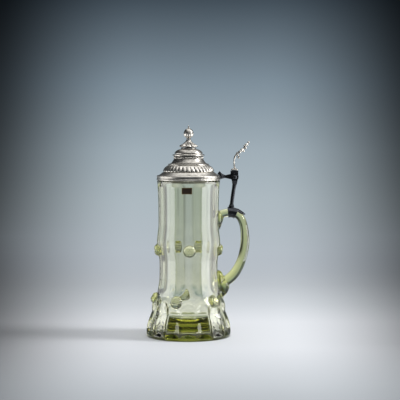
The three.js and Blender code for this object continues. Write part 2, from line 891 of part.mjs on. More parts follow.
function thumblift() {
  const base = hingeZ + blockHeight + seatGap;
  const at = (across, up) => vec(hingeX + across * liftReach, 0, base + up * liftHeight);
  const stem = new THREE.CatmullRomCurve3([
    at(0.03, 0.03), at(-0.03, 0.2), at(-0.03, 0.37), at(0.04, 0.5), at(0.24, 0.61),
    at(0.52, 0.7), at(0.73, 0.82), at(0.87, 0.92), at(1, 1),
  ]);
  const half = liftThickness / 2;
  const thickness = (along) => blended([
    [0, half],
    [0.45, half],
    [0.6, half * 1.5],
    [1, half * 0.7],
  ], along);
  const width = (along) => blended([
    [0, liftStemWidth / 2],
    [0.38, liftStemWidth / 2],
    [0.55, liftWidth / 2],
    [0.72, liftWidth * 0.46],
    [0.86, liftWidth * 0.26],
    [1, liftWidth * 0.1],
  ], along);
  const curl = new THREE.CatmullRomCurve3([at(0, 0.42), at(0.1, 0.53), at(0.24, 0.53), at(0.26, 0.44)]);
  const curlThickness = (along) => half * (1.1 - 0.3 * along);
  const foot = block(
    [hingeX - lidBarrelRadius + 0.6, -hingeWidth * 0.4, base],
    [hingeX + blockBack + 0.4, hingeWidth * 0.4, base + liftFoot],
  );
  let lift = solid(swept(stem, 13, 8, thickness, width))
    .add(solid(swept(curl, 6, 6, curlThickness, () => liftStemWidth / 2)))
    .add(solid(foot))
    .add(solid(ball([hingeX + 0.3, 0, base + liftFoot], [3.6, 4, liftFoot], 8, 4)));
  const openingAt = stem.getPointAt(0.6);
  const slope = stem.getTangentAt(0.6);
  const lean = Math.atan2(slope.x, slope.z);
  for (const side of [-1, 1]) {
    const drop = ball([0, 0, 0], [4 * liftThickness, liftWidth * 0.13, liftHeight * 0.1], 8, 4)
      .rotateY(lean)
      .translate(openingAt.x, side * liftWidth * 0.25, openingAt.z);
    lift = lift.subtract(solid(drop));
    for (const along of [0.72, 0.85]) {
      const edge = stem.getPointAt(along);
      const lobe = ball([edge.x, side * width(along), edge.z], [1.3, 1.5, 1.8], 6, 4);
      lift = lift.add(solid(lobe));
    }
  }
  return lift.add(solid(ball([at(1, 1).x, 0, at(1, 1).z], [1.4, 1.8, 1.4], 6, 4)));
}

// Assembly

const fired = { roughness: 0.06, metalness: 0, transparent: true };
const greenGlass = { ...fired, color: 0x8f9c5a, opacity: 0.6 };
const rodGlass = { ...fired, color: 0x9aa85c, opacity: 0.75 };
const brightPewter = { color: 0xa9a69e, roughness: 0.3, metalness: 1 };
const darkPewter = { color: 0x55585a, roughness: 0.38, metalness: 1 };

const mug = new THREE.Group();

mug.add(meshed('glass_vessel', vesselBody(0).subtract(vesselBore()), greenGlass));
mug.add(meshed('glass_handle', handleGlass(), rodGlass));
upperPruntAngles.forEach((angle, i) => {
  mug.add(meshed(`prunt_upper_${i + 1}`, prunt(angle, upperPruntHeight), rodGlass));
});
lowerPruntAngles.forEach((angle, i) => {
  mug.add(meshed(`prunt_lower_${i + 1}`, prunt(angle, lowerPruntHeight), rodGlass));
});
mug.add(meshed('handle_collar', handleCollar(), darkPewter));
mug.add(meshed('hinge_post', hingePost(), darkPewter));
mug.add(meshed('hinge_pin', hingePin(), darkPewter));

const lid = new THREE.Group();
lid.add(meshed('lid_rim', rimForm(0), brightPewter));
lid.add(meshed('lid_gadroon_dome', gadroonedDome(), brightPewter));
lid.add(meshed('lid_drum', drumShell(), brightPewter));
lid.add(meshed('lid_crown', crownShell(), brightPewter));
lid.add(meshed('finial_calyx', calyxForm(), brightPewter));
lid.add(meshed('finial_knob', knobForm(), brightPewter));
lid.add(meshed('lid_hinge_block', lidBlock(), darkPewter));
lid.add(meshed('thumblift', thumblift(), brightPewter));
mug.add(lid);

export default mug;
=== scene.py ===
# %% [markdown]
# # A beer mug of pale green glass with a pewter lid
# The solid model of this mug already has each piece at its real size and place. This lesson
# gives the pieces their fine surface, their glass and metal, and light to see them by.
# The scene is in metres, +Z is up, the handle points to +X and the camera looks along +Y.

import math

import bmesh
import bpy
import numpy as np
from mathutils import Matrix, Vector


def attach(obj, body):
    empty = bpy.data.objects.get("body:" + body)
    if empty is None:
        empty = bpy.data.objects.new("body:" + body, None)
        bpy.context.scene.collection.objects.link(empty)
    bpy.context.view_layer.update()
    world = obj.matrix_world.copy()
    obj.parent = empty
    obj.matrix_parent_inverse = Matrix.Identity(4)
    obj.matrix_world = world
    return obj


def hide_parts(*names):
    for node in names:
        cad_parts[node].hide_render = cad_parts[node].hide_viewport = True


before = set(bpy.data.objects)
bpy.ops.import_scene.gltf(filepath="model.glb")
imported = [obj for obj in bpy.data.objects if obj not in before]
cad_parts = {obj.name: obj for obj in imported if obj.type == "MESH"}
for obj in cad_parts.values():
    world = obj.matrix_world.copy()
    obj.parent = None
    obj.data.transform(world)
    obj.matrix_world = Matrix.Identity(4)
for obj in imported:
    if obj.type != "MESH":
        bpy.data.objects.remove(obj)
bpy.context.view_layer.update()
print("nodes in the frame:", len(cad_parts))

# %% [markdown]
# ## Colours and nodes
# Colours are easiest to pick as sRGB hex values, but shaders compute with linear light, so one
# function converts them. A second one adds a shader node, fills in its sockets and links it, and
# a third starts an empty material.

# %% Small helpers
MM = 0.001


def linear(hex_colour):
    parts = [int(hex_colour[i:i + 2], 16) / 255 for i in (1, 3, 5)]
    light = [p / 12.92 if p <= 0.04045 else ((p + 0.055) / 1.055) ** 2.4 for p in parts]
    return (*light, 1.0)


def add_node(tree, kind, values=None, links=None, **settings):
    """Adds a node. values and links are keyed by socket name or number."""
    node = tree.nodes.new(kind)
    for name, value in settings.items():
        setattr(node, name, value)
    for socket, value in (values or {}).items():
        node.inputs[socket].default_value = value
    for socket, source in (links or {}).items():
        tree.links.new(source, node.inputs[socket])
    return node


def new_material(name):
    material = bpy.data.materials.new(name)
    material.use_nodes = True
    material.node_tree.nodes.clear()
    return material, material.node_tree


print("half grey, #808080, is", round(linear("#808080")[0], 3), "in linear light")

# %% [markdown]
# ## The glass
# Forest glass is soda-potash glass that iron in the sand has turned yellow-green. Its IOR is
# about 1.52. The colour sits in the depth of the glass, so a thin wall is almost clear and the
# thick floor is olive. A Volume Absorption does just that: the same material darkens by itself
# where light travels further. Hot-worked glass is fire-polished, so it is smooth, but old
# moulds leave slow waves in it, a few centimetres long and a few hundredths of a millimetre
# deep. A faint bump with that spacing bends the highlights as the real surface does.

# %% Forest glass
GLASS_IOR = 1.52
WAVE_LENGTH = 22 * MM


def forest_glass(name, tint, density, wave_depth):
    material, tree = new_material(name)
    place = add_node(tree, "ShaderNodeTexCoord").outputs["Object"]
    waves = add_node(
        tree, "ShaderNodeTexNoise", {"Scale": 1 / WAVE_LENGTH, "Detail": 1.5, "Roughness": 0.4},
        {"Vector": place},
    )
    bump = add_node(
        tree, "ShaderNodeBump", {"Strength": 1.0, "Distance": wave_depth},
        {"Height": waves.outputs["Fac"]},
    )
    glass = add_node(
        tree, "ShaderNodeBsdfPrincipled", {
            "Base Color": (1, 1, 1, 1), "Roughness": 0.0, "IOR": GLASS_IOR,
            "Transmission Weight": 1.0,
        }, {"Normal": bump.outputs["Normal"]},
    )
    depth = add_node(
        tree, "ShaderNodeVolumeAbsorption", {"Color": linear(tint), "Density": density},
    )
    add_node(
        tree, "ShaderNodeOutputMaterial", links={
            "Surface": glass.outputs["BSDF"], "Volume": depth.outputs["Volume"],
        },
    )
    return material


vessel_glass = forest_glass("forest_glass_blown", "#dedf59", 48.0, 0.05 * MM)
applied_glass = forest_glass("forest_glass_solid", "#e3e65c", 96.0, 0.04 * MM)
print("glass made, IOR", GLASS_IOR)

# %% [markdown]
# ## The pewter
# Pewter is nine parts tin. Cast and turned, then handled for a century, it has a warm grey shine
# on every raised edge and a dark patina in its hollows. One function makes both finishes:
# Pointiness tells raised from hollow on a dense mesh (0.5 is flat), and the hollows get a
# near-black colour that is part patina and part painted shade, as ambient occlusion would give.
# Stains shift that a little, and a fine noise at the size of casting grain breaks up the shine.

# %% Cast pewter
GRAIN = 0.7 * MM
STAIN = 6 * MM
HOLLOW = 0.44
RAISED = 0.53
STAIN_SHIFT = (-0.22, 0.18)


def cast_pewter(name, raised, hollow, rough_raised, rough_hollow):
    material, tree = new_material(name)
    place = add_node(tree, "ShaderNodeTexCoord").outputs["Object"]
    grain = add_node(
        tree, "ShaderNodeTexNoise", {"Scale": 1 / GRAIN, "Detail": 3.0, "Roughness": 0.6},
        {"Vector": place},
    )
    stain = add_node(
        tree, "ShaderNodeTexNoise", {"Scale": 1 / STAIN, "Detail": 4.0, "Roughness": 0.65},
        {"Vector": place},
    )
    edge = add_node(tree, "ShaderNodeNewGeometry").outputs["Pointiness"]
    # Hollows take the dark colour: patina plus painted shade in the recesses
    wear_and_hollow_shade = add_node(
        tree, "ShaderNodeMapRange", {"From Min": HOLLOW, "From Max": RAISED}, {"Value": edge},
    )
    patch = add_node(
        tree, "ShaderNodeMapRange", {
            "From Min": 0.35, "From Max": 0.65, "To Min": STAIN_SHIFT[0], "To Max": STAIN_SHIFT[1],
        }, {"Value": stain.outputs["Fac"]},
    )
    polish_stain_and_shade = add_node(
        tree, "ShaderNodeMath",
        links={0: wear_and_hollow_shade.outputs["Result"], 1: patch.outputs["Result"]},
        operation="ADD", use_clamp=True,
    )
    colour = add_node(
        tree, "ShaderNodeMix", {6: linear(hollow), 7: linear(raised)},
        {0: polish_stain_and_shade.outputs["Value"]}, data_type="RGBA",
    )
    roughness = add_node(
        tree, "ShaderNodeMapRange", {"To Min": rough_hollow, "To Max": rough_raised},
        {"Value": polish_stain_and_shade.outputs["Value"]},
    )
    bump = add_node(
        tree, "ShaderNodeBump", {"Strength": 0.5, "Distance": 0.03 * MM},
        {"Height": grain.outputs["Fac"]},
    )
    metal = add_node(
        tree, "ShaderNodeBsdfPrincipled", {"Metallic": 1.0},
        {
            "Base Color": colour.outputs[2], "Roughness": roughness.outputs["Result"],
            "Normal": bump.outputs["Normal"],
        },
    )
    add_node(tree, "ShaderNodeOutputMaterial", links={"Surface": metal.outputs["BSDF"]})
    return material


# The near-black hollow colours are patina plus painted shade in the recesses
bright_pewter = cast_pewter("pewter_polished", "#d4d0c8", "#25231f", 0.3, 0.5)
dark_pewter = cast_pewter("pewter_patinated", "#4a4c50", "#16181a", 0.3, 0.5)
print("two pewter finishes made")

# %% [markdown]
# ## Meshes from rings
# Almost every piece here is round, or a rod that follows a curve, so each is a stack of rings
# of points joined by quads. Sizes are written in millimetres, as on a drawing, and turned into
# metres in one place.

# %% Rings of points
def mesh_from(points, faces):
    mesh = bpy.data.meshes.new("form")
    mesh.from_pydata([tuple(p) for p in np.asarray(points) * MM], [], faces)
    return mesh


def ring_faces(rings, sides, loop=False):
    """Quads between neighbouring rings. An open stack is closed by a cap at each end."""
    faces = []
    for i in range(rings if loop else rings - 1):
        j = (i + 1) % rings
        for k in range(sides):
            n = (k + 1) % sides
            faces.append((i * sides + k, i * sides + n, j * sides + n, j * sides + k))
    if not loop:
        faces.append(tuple(range(sides - 1, -1, -1)))
        faces.append(tuple((rings - 1) * sides + k for k in range(sides)))
    return faces


def skin(rings, loop=False):
    """Points and faces of a stack of rings that all have the same number of points."""
    return np.concatenate(rings), ring_faces(len(rings), len(rings[0]), loop)


def round_angles(sides):
    return np.linspace(0, 2 * math.pi, sides, endpoint=False)


def ring_at(radius, angles, z):
    """A level ring. Angles start at the front, -Y, and grow towards the handle, +X."""
    radius, z = np.broadcast_to(radius, angles.shape), np.broadcast_to(z, angles.shape)
    return np.stack([radius * np.sin(angles), -radius * np.cos(angles), z], 1)


print("two rings of eight points make", len(ring_faces(2, 8)), "faces")

# %% [markdown]
# A mesh becomes a piece when it gets its finish, smooth shading and a name. The same call says
# which body the piece moves with and which plain solid it stands for.

# %% A piece from a mesh
def dressed(name, mesh, material, body, nodes, sharp=None):
    shell = bmesh.new()
    shell.from_mesh(mesh)
    bmesh.ops.recalc_face_normals(shell, faces=shell.faces)
    shell.to_mesh(mesh)
    shell.free()
    mesh.materials.clear()
    mesh.materials.append(material)
    mesh.shade_smooth()
    if sharp:
        mesh.set_sharp_from_angle(angle=math.radians(sharp))
    thing = bpy.data.objects.new(name, mesh)
    bpy.context.collection.objects.link(thing)
    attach(thing, body)
    if nodes:
        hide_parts(*nodes)
    return thing


# %% [markdown]
# Two kinds of curve draw the vessel: a Hermite curve through a few stations, which also shaped
# the solid model, gives the long sweep of its wall, and arcs of an ellipse give its edges.

# %% Two curves
def blended(stations, place):
    """Smooth values between stations (place, value, slope before, slope after)."""
    spots, values, before, after = np.array([(*s, 0, 0)[:4] for s in stations], float).T
    place = np.clip(place, spots[0], spots[-1])
    high = np.clip(np.searchsorted(spots, place, side="right"), 1, len(spots) - 1)
    low = high - 1
    span = spots[high] - spots[low]
    t = (place - spots[low]) / span
    rise = t * t * (3 - 2 * t)
    bend = after[low] * t * (1 - t) ** 2 - before[high] * t * t * (1 - t)
    return values[low] + (values[high] - values[low]) * rise + span * bend


def arc(centre, across, up, start, end, count):
    """Points on part of an ellipse, in degrees from the first axis to the second."""
    angles = np.radians(np.linspace(start, end, count))
    return [(centre[0] + across * math.cos(a), centre[1] + up * math.sin(a)) for a in angles]


print("a quarter of the way from 0 to 1, eased:", float(blended([(0, 0), (1, 1)], 0.25)))

# %% [markdown]
# ## The vessel
# The body was blown in a mould, so it starts as a plain turned outline: a foot in two tiers with
# a pinch between them, a bulge at mid height and a flared lip. The wall is about 4 mm thick
# all the way up.

# %% Vessel outline
HEIGHT = 187.0
STAND_RADIUS = 49.5
CREST = 7.0
PINCH = 30.0
TIER = 36.0
TIER_RADIUS = 44.9
TIER_TOP = 50.0
FLARE = 178.4
LIP_RADIUS = 37.9
CHANNEL = 6.0
FOOT_WALL = 4.0
BODY_WALL = 3.8

# Stations of the outline: height, radius, and the slope before and after where it isn't level
outline = [
    (0, STAND_RADIUS, 0, 0.4), (CREST, 51.4), (PINCH, 44.6, -0.45, 0.1), (TIER, TIER_RADIUS),
    (TIER_TOP, 38.5, -0.32, -0.32), (88, 34.6), (115, 37.7), (134, 35.9),
    (FLARE, 36.7, 0.06, 0.16), (HEIGHT, LIP_RADIUS, 0.05),
]
# The wall's thickness at two heights
wall_thickness = [(CHANNEL, FOOT_WALL), (TIER_TOP, BODY_WALL)]


def outline_radius(z):
    return blended(outline, z)


def bore_radius(z):
    return outline_radius(z) - blended(wall_thickness, z)


print("bore", round(float(2 * bore_radius(HEIGHT / 2)), 1), "mm wide at half height")

# %% [markdown]
# The mould pressed eight flat panels into the body and sixteen hollow flutes into the foot. Both
# are the plain outline with a radius that changes with the angle, so no part has to be cut from
# another. Low down, the flutes run out on a sloped ring. Two surfaces meet in a soft edge, as
# they do in hot glass. Inside, the body is round, so its wall is thick in the corners, and the
# inside of the foot follows the flutes.

# %% Panels and flutes
PANELS = 8
CORNER_SHARPNESS = 40
FLUTES = 16
BASE_BAND = 3.0
RING_OVERHANG = 1.5
RING_TOP_SLOPE = 0.62

# Values that change with the height
flute_depth = [(CREST, 3.5), (PINCH, 1.7), (TIER, 2.9)]
shell_share = [(TIER_TOP, 1), (TIER_TOP + 8, 0)]
panel_share = [(TIER_TOP - 2, 0), (TIER_TOP + 6, 1), (HEIGHT - 8, 1), (HEIGHT - 2, 0)]


def flute_scoop(angles, z):
    return blended(flute_depth, z) * np.abs(np.cos(angles * FLUTES / 2)) ** 1.1


def panel_factor(angles):
    facing = [np.cos(angles - 2 * math.pi * i / PANELS) for i in range(PANELS)]
    total = sum(np.maximum(0, f) ** CORNER_SHARPNESS for f in facing)
    return total ** (-1 / CORNER_SHARPNESS)


def soft_max(a, b, ease=0.25):
    return (a + b + np.sqrt((a - b) ** 2 + ease ** 2)) / 2


def surface_radius(angles, z):
    """The outer wall's radius at an angle and a height."""
    plain = outline_radius(z)
    panels = 1 + (panel_factor(angles) - 1) * blended(panel_share, z)
    arris = np.where(z > TIER, TIER_RADIUS, plain)
    scoop = arris - flute_scoop(angles, z)
    fluted = -soft_max(-plain * panels, -scoop)
    ring = STAND_RADIUS + RING_OVERHANG - RING_TOP_SLOPE * (z - BASE_BAND)
    return np.where(z < BASE_BAND, plain, soft_max(fluted, ring))


def inner_radius(angles, z):
    """The bore's radius: an even shell in the foot, round in the body."""
    shell = surface_radius(angles, z) - blended(wall_thickness, z)
    return bore_radius(z) + blended(shell_share, z) * (shell - bore_radius(z))


for name, angle in (("in a flute", 0), ("beside a flute", math.pi / FLUTES)):
    print("foot's radius", name, round(float(surface_radius(angle, CREST)), 1), "mm")

# %% [markdown]
# The vessel is one closed skin: under the base, up the outside, over the rounded lip and down
# the bore to the floor. Only the floor is thick: it rises to a flat boss with a channel round it.
# The rings lie close together, because glass shows every facet twice: as a highlight, and by how
# it bends what is behind it.

# %% Vessel skin
VESSEL_SIDES = 320
BASE_EDGE = 2.0
BASE_LEAN = 0.12
FINE_TOP = 56.0
ROW_STEP = 1.5
LIP_ROUND = 1.2
CHANNEL_CURVE = 5.0
BOSS_TOP = 23.3
BOSS_RADIUS = 26.3
BOSS_FOOT = 28.8
BOSS_EDGE = 1.2
BOSS_FILLET = 2.4


def vessel_skin():
    angles = round_angles(VESSEL_SIDES)
    stand = STAND_RADIUS - BASE_EDGE
    top = HEIGHT - LIP_ROUND
    mouth = float(bore_radius(HEIGHT))
    bend = CHANNEL + CHANNEL_CURVE
    foot = (BOSS_FOOT + BOSS_FILLET, CHANNEL + BOSS_FILLET)
    shoulder = (BOSS_RADIUS - BOSS_EDGE, BOSS_TOP - BOSS_EDGE)
    edge = arc((stand, BASE_EDGE), BASE_EDGE, BASE_EDGE, -88, -12, 12)
    outside = [
        *np.linspace(BASE_EDGE, FINE_TOP, 64), *np.linspace(FINE_TOP + ROW_STEP, top, 80),
    ]
    channel = arc((-CHANNEL_CURVE, bend), CHANNEL_CURVE, CHANNEL_CURVE, -5, -90, 12)
    rings = [
        *((r, 0) for r in (0.5, 20, 40, stand - 0.5)),
        *((r + BASE_LEAN * z, z) for r, z in edge),
        *((surface_radius(angles, z), z) for z in outside),
        *arc((LIP_RADIUS - LIP_ROUND, top), LIP_ROUND, LIP_ROUND, 12, 90, 6),
        *arc((mouth + LIP_ROUND, top), LIP_ROUND, LIP_ROUND, 90, 180, 6),
        *((inner_radius(angles, z), z) for z in np.linspace(top - ROW_STEP, bend, 120)),
        *((inner_radius(angles, bend) + inward, z) for inward, z in channel),
        *arc(foot, BOSS_FILLET, BOSS_FILLET, -95, -175, 6),
        *arc(shoulder, BOSS_EDGE, BOSS_EDGE, 8, 90, 6),
        *((share * BOSS_RADIUS, BOSS_TOP) for share in (0.8, 0.4, 0.02)),
    ]
    return skin([ring_at(r, angles, z) for r, z in rings])


vessel = dressed(
    "vessel", mesh_from(*vessel_skin()), vessel_glass, "mug", ["glass_vessel"],
)
print("vessel:", len(vessel.data.polygons), "faces")

# %% [markdown]
# ## Raspberry prunts
# A prunt is a drop of hot glass set on the wall and pressed with a nubbed stamp. Nineteen nubs
# lie as in a honeycomb on a low dome.

# %% Raspberry stamp
PRUNT_RADIUS = 7.2
PRUNT_HEIGHT = 3.4
NUB_PITCH = 2.5
NUB_RADIUS = 1.45
NUB_RISE = 1.0


def honeycomb(pitch, rows):
    places = []
    for i in range(-rows, rows + 1):
        for j in range(-rows, rows + 1):
            if abs(i + j) <= rows:
                places.append(((i + j / 2) * pitch, j * pitch * math.sqrt(0.75)))
    return places


def prunt_rise(u, v):
    """Height of the pressed drop over the wall at a place on it, from its centre."""
    share = np.hypot(u, v) / PRUNT_RADIUS
    dome = PRUNT_HEIGHT * np.sqrt(np.maximum(0, 1 - share ** 3))
    nubs = np.zeros_like(u)
    for across, up in honeycomb(NUB_PITCH, 2):
        near = 1 - ((u - across) ** 2 + (v - up) ** 2) / NUB_RADIUS ** 2
        nubs = np.maximum(nubs, NUB_RISE * np.maximum(0, near) ** 0.8)
    return dome + nubs * np.minimum(1, 6 * np.maximum(0, 1 - share))


print("nubs on the stamp:", len(honeycomb(NUB_PITCH, 2)))

# %% [markdown]
# The drop is a polar grid whose points rise along the wall's normal, so its underside follows
# the panels of the vessel. A hair of air is left between the two, as the solids have.

# %% Prunts
PRUNT_EDGE = 0.15
PRUNT_SIDES = 96
PRUNT_RINGS = 28
SEAT_GAP = 0.05
prunt_rows = {
    "upper": (104.5, (2, 74, 146, 218, 290)),
    "lower": (44.5, (-92, -20, 46, 117, 188)),
}


def on_wall(centre_angle, centre_z, u, v, rise):
    """Points that stand off the wall, given along and up it from a centre, in mm."""
    angle = centre_angle + u / float(outline_radius(centre_z))
    z = centre_z + v
    slope = (outline_radius(centre_z + 3) - outline_radius(centre_z - 3)) / 6
    tilt = math.atan(-float(slope))
    radius = surface_radius(angle, z) + rise * math.cos(tilt)
    return ring_at(radius, angle, z + rise * math.sin(tilt))


def prunt_skin(degrees, height):
    angles = round_angles(PRUNT_SIDES)
    underside = [(share, False) for share in np.linspace(0.02, 1, 6)]
    dome = [(share, True) for share in np.sin(np.linspace(math.pi / 2, 0.01, PRUNT_RINGS))]
    rings = []
    for share, pressed in underside + dome:
        u, v = PRUNT_RADIUS * share * np.cos(angles), PRUNT_RADIUS * share * np.sin(angles)
        rise = np.maximum(prunt_rise(u, v), PRUNT_EDGE) if pressed else 0.0
        rings.append(on_wall(math.radians(degrees), height, u, v, rise + SEAT_GAP))
    return skin(rings)


for row, (height, places) in prunt_rows.items():
    for i, degrees in enumerate(places, start=1):
        dressed(
            f"raspberry_{row}_{i}", mesh_from(*prunt_skin(degrees, height)), applied_glass,
            "mug", [f"prunt_{row}_{i}"],
        )
print("prunts pressed:", sum(len(places) for _, places in prunt_rows.values()))

# %% [markdown]
# ## The handle
# The handle is a rod of hot glass, stuck to the wall above, bent over and pressed on below,
# where the gaffer drew the last of it down into a tail. Such melted joints have no edges. So
# rod, pads and tails are made as plain overlapping forms, and a voxel remesh fuses them, much
# as the heat did. What lies inside the wall is then laid against it.

# %% Forms to fuse
def unit(rows):
    return rows / np.linalg.norm(rows, axis=1)[:, None]


def rod(line, thickness, width=None, sides=32):
    """Rings along a line of (x, z) points: thick in that plane, wide along Y."""
    line = np.asarray(line, float)
    width = thickness if width is None else width
    thickness, width = (np.broadcast_to(size, len(line)) for size in (thickness, width))
    heading = unit(np.gradient(line, axis=0))
    turn = round_angles(sides)
    rings = []
    for (x, z), (dx, dz), thick, wide in zip(line, heading, thickness, width):
        out = thick * np.cos(turn)
        rings.append(np.stack([x - dz * out, wide * np.sin(turn), z + dx * out], 1))
    return skin(rings)


def ball(centre, half, sides=32, rows=16):
    turn = round_angles(sides)
    rings = []
    for lean in np.linspace(-math.pi / 2 + 0.05, math.pi / 2 - 0.05, rows):
        ring = np.stack([
            half[0] * math.cos(lean) * np.cos(turn), half[1] * math.cos(lean) * np.sin(turn),
            np.full(sides, half[2] * math.sin(lean)),
        ], 1)
        rings.append(ring + centre)
    return skin(rings)


def fused(forms, voxel, rounds):
    """One mesh from overlapping forms, with its joints smoothed."""
    points, faces, start = [], [], 0
    for form_points, form_faces in forms:
        points.append(form_points)
        faces += [tuple(start + n for n in face) for face in form_faces]
        start += len(form_points)
    return remeshed(mesh_from(np.concatenate(points), faces), voxel, rounds)


def remeshed(mesh, voxel, rounds):
    thing = bpy.data.objects.new("fused", mesh)
    bpy.context.collection.objects.link(thing)
    remesh = thing.modifiers.new("remesh", "REMESH")
    remesh.mode = "VOXEL"
    remesh.voxel_size = voxel * MM
    smooth = thing.modifiers.new("smooth", "SMOOTH")
    smooth.factor = 0.5
    smooth.iterations = rounds
    graph = bpy.context.evaluated_depsgraph_get()
    result = bpy.data.meshes.new_from_object(thing.evaluated_get(graph))
    bpy.data.objects.remove(thing)
    return result


print("a ball is a skin of", len(ball((0, 0, 0), (1, 1, 1))[1]), "faces")

# %% [markdown]
# The rod's line is two cubic Bezier curves that meet at the widest point of the bow. Points at
# even distances along it give the rod even rings.

# %% Line of the handle
UPPER_ROOT = 144.5
SHOULDER = 152.4
SHOULDER_REACH = 51.4
LOWER_ROOT = 64.0
KNEE_REACH = 57.0
BOW_HEIGHT = 115.4
BOW_REACH = 67.7
BOW_DROP = 19.4
ROOT_DEPTH = 1.5


def bezier(a, b, c, d):
    t = np.linspace(0, 1, 60)[:, None]
    a, b, c, d = (np.array(p, float) for p in (a, b, c, d))
    return a * (1 - t) ** 3 + 3 * b * (1 - t) ** 2 * t + 3 * c * (1 - t) * t ** 2 + d * t ** 3


def spaced(line, count):
    """The same line with evenly spaced points."""
    line = np.asarray(line, float)
    run = np.concatenate([[0], np.cumsum(np.linalg.norm(np.diff(line, axis=0), axis=1))])
    wanted = np.linspace(0, run[-1], count)
    return np.stack([np.interp(wanted, run, axis) for axis in line.T], axis=1)


def wall_at_handle(z):
    return float(surface_radius(np.array([math.pi / 2]), z)[0])


upper_curve = bezier(
    (wall_at_handle(UPPER_ROOT) - ROOT_DEPTH, UPPER_ROOT), (SHOULDER_REACH, SHOULDER),
    (BOW_REACH, SHOULDER), (BOW_REACH, BOW_HEIGHT),
)
lower_curve = bezier(
    (BOW_REACH, BOW_HEIGHT), (BOW_REACH, BOW_HEIGHT - BOW_DROP), (KNEE_REACH, LOWER_ROOT - 1),
    (wall_at_handle(LOWER_ROOT) - ROOT_DEPTH, LOWER_ROOT),
)
handle_line = spaced(np.vstack([upper_curve, lower_curve[1:]]), 160)
handle_length = float(np.linalg.norm(np.diff(handle_line, axis=0), axis=1).sum())
print("handle:", round(handle_length), "mm along the rod")

# %% [markdown]
# A hand bent the rod, so its thickness wanders by a quarter of a millimetre. Each end spreads
# into a pad and runs out down the wall in a tail.

# %% Handle
ROD_RADIUS = 4.8
BOW_ROD_RADIUS = 5.4
LOW_ROD_RADIUS = 6.3
WANDER = 0.12
WET_EDGE = 0.5
HANDLE_VOXEL = 0.55
HANDLE_ROUNDS = 10


def rod_radius(share):
    sizes = [(0, ROD_RADIUS), (0.28, ROD_RADIUS), (0.55, BOW_ROD_RADIUS), (1, LOW_ROD_RADIUS)]
    wander = WANDER * np.sin(17 * share) * np.minimum(1, 4 * np.maximum(0, share - 0.3))
    return blended(sizes, share) + wander


def tail(root, length, bulge, thickness):
    """Glass drawn down the wall from a root, bulging from it half way down."""
    middle, end = root - length / 2, root - length
    t = np.linspace(0, 1, 30)[:, None]
    start = np.array((wall_at_handle(root) + 0.8 * thickness, root))
    bend = np.array((wall_at_handle(middle) + bulge, middle))
    tip = np.array((wall_at_handle(end) + 0.5, end))
    line = start * (1 - t) ** 2 + 2 * bend * t * (1 - t) + tip * t ** 2
    taper = thickness * (1 - 0.85 * t[:, 0] ** 1.5)
    return rod(line, taper, 1.2 * taper)


def laid_on_wall(mesh):
    """Moves what is inside the wall out to it, with a soft edge where it leaves the wall."""
    points = np.zeros(3 * len(mesh.vertices))
    mesh.vertices.foreach_get("co", points)
    x, y, z = points.reshape(-1, 3).T / MM
    radius, angles = np.hypot(x, y), np.arctan2(x, -y)
    wall = surface_radius(angles, z) + SEAT_GAP
    proud = radius - wall
    scale = (wall + (proud + np.sqrt(proud ** 2 + WET_EDGE ** 2)) / 2) / radius
    moved = np.stack([x * scale, y * scale, z], 1) * MM
    mesh.vertices.foreach_set("co", moved.ravel())
    mesh.update()
    return mesh


def pad(height, half):
    return ball((wall_at_handle(height), 0, height), half)


handle_forms = [
    rod(handle_line, rod_radius(np.linspace(0, 1, len(handle_line)))),
    pad(UPPER_ROOT - 3.5, (5, 7.5, 9.5)),
    pad(LOWER_ROOT + 1.5, (7.5, 9, 13.5)),
    tail(UPPER_ROOT - 2, 14.5, 1.7, 3.4),
    tail(LOWER_ROOT, 17, 9, 7),
]
handle = dressed(
    "glass_loop", laid_on_wall(fused(handle_forms, HANDLE_VOXEL, HANDLE_ROUNDS)), applied_glass,
    "mug", ["glass_handle"],
)
print("handle:", len(handle.data.polygons), "faces")

# %% [markdown]
# ## Collar, post and hinge
# These are small sand castings with filed edges. The solids have the right shape and the
# clearances of the hinge, but crisp facets. So each is a fresh copy of its solid, remeshed to
# fine cells and smoothed: edges turn soft as on worn castings, and nothing grows.

# %% Softened castings
CAST_VOXEL = 0.22
# Name, solid, body and rounds of smoothing
castings = [
    ("collar_and_leaf", "handle_collar", "mug", 12),
    ("hinge_strut", "hinge_post", "mug", 10),
    ("pivot_pin", "hinge_pin", "mug", 8),
    ("hinge_block_and_arm", "lid_hinge_block", "lid", 8),
]
for name, node, body, rounds in castings:
    mesh = remeshed(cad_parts[node].data.copy(), CAST_VOXEL, rounds)
    dressed(name, mesh, dark_pewter, body, [node])
    print(name, len(mesh.polygons), "faces")

# %% [markdown]
# ## The lid
# The lid was cast and then turned on a lathe, so each tier is a section turned about the axis:
# a rim with a sloped flange, a gadrooned dome, a hollow-sided drum under a ring, and a crown.
# The sections are hollow shells. Their corners are eased as a lathe tool and polishing leave
# them, because it is those thin rounded edges that catch the light.

# %% Lid tiers
SHELL_GAP = 0.3
LID_BASE = HEIGHT + SHELL_GAP
LID_WALL = 1.8
RIM_RADIUS = 38.3
RIM_TOP = LID_BASE + 5.8
FLANGE_RADIUS = 31.0
FLANGE_TOP = RIM_TOP + 3.7
LOCATING_RADIUS = float(bore_radius(HEIGHT)) - 0.5
LID_SIDES = 192


def eased(section, radius, steps=4):
    """A closed section with each corner rounded off by about the radius."""
    points = np.array(section, float)
    eased_points = []
    for before, corner, after in zip(np.roll(points, 1, 0), points, np.roll(points, -1, 0)):
        back, on = before - corner, after - corner
        start = corner + back * min(0.45, radius / np.linalg.norm(back))
        end = corner + on * min(0.45, radius / np.linalg.norm(on))
        for t in np.linspace(0, 1, steps):
            eased_points.append(start * (1 - t) ** 2 + 2 * corner * t * (1 - t) + end * t * t)
    return np.array(eased_points)


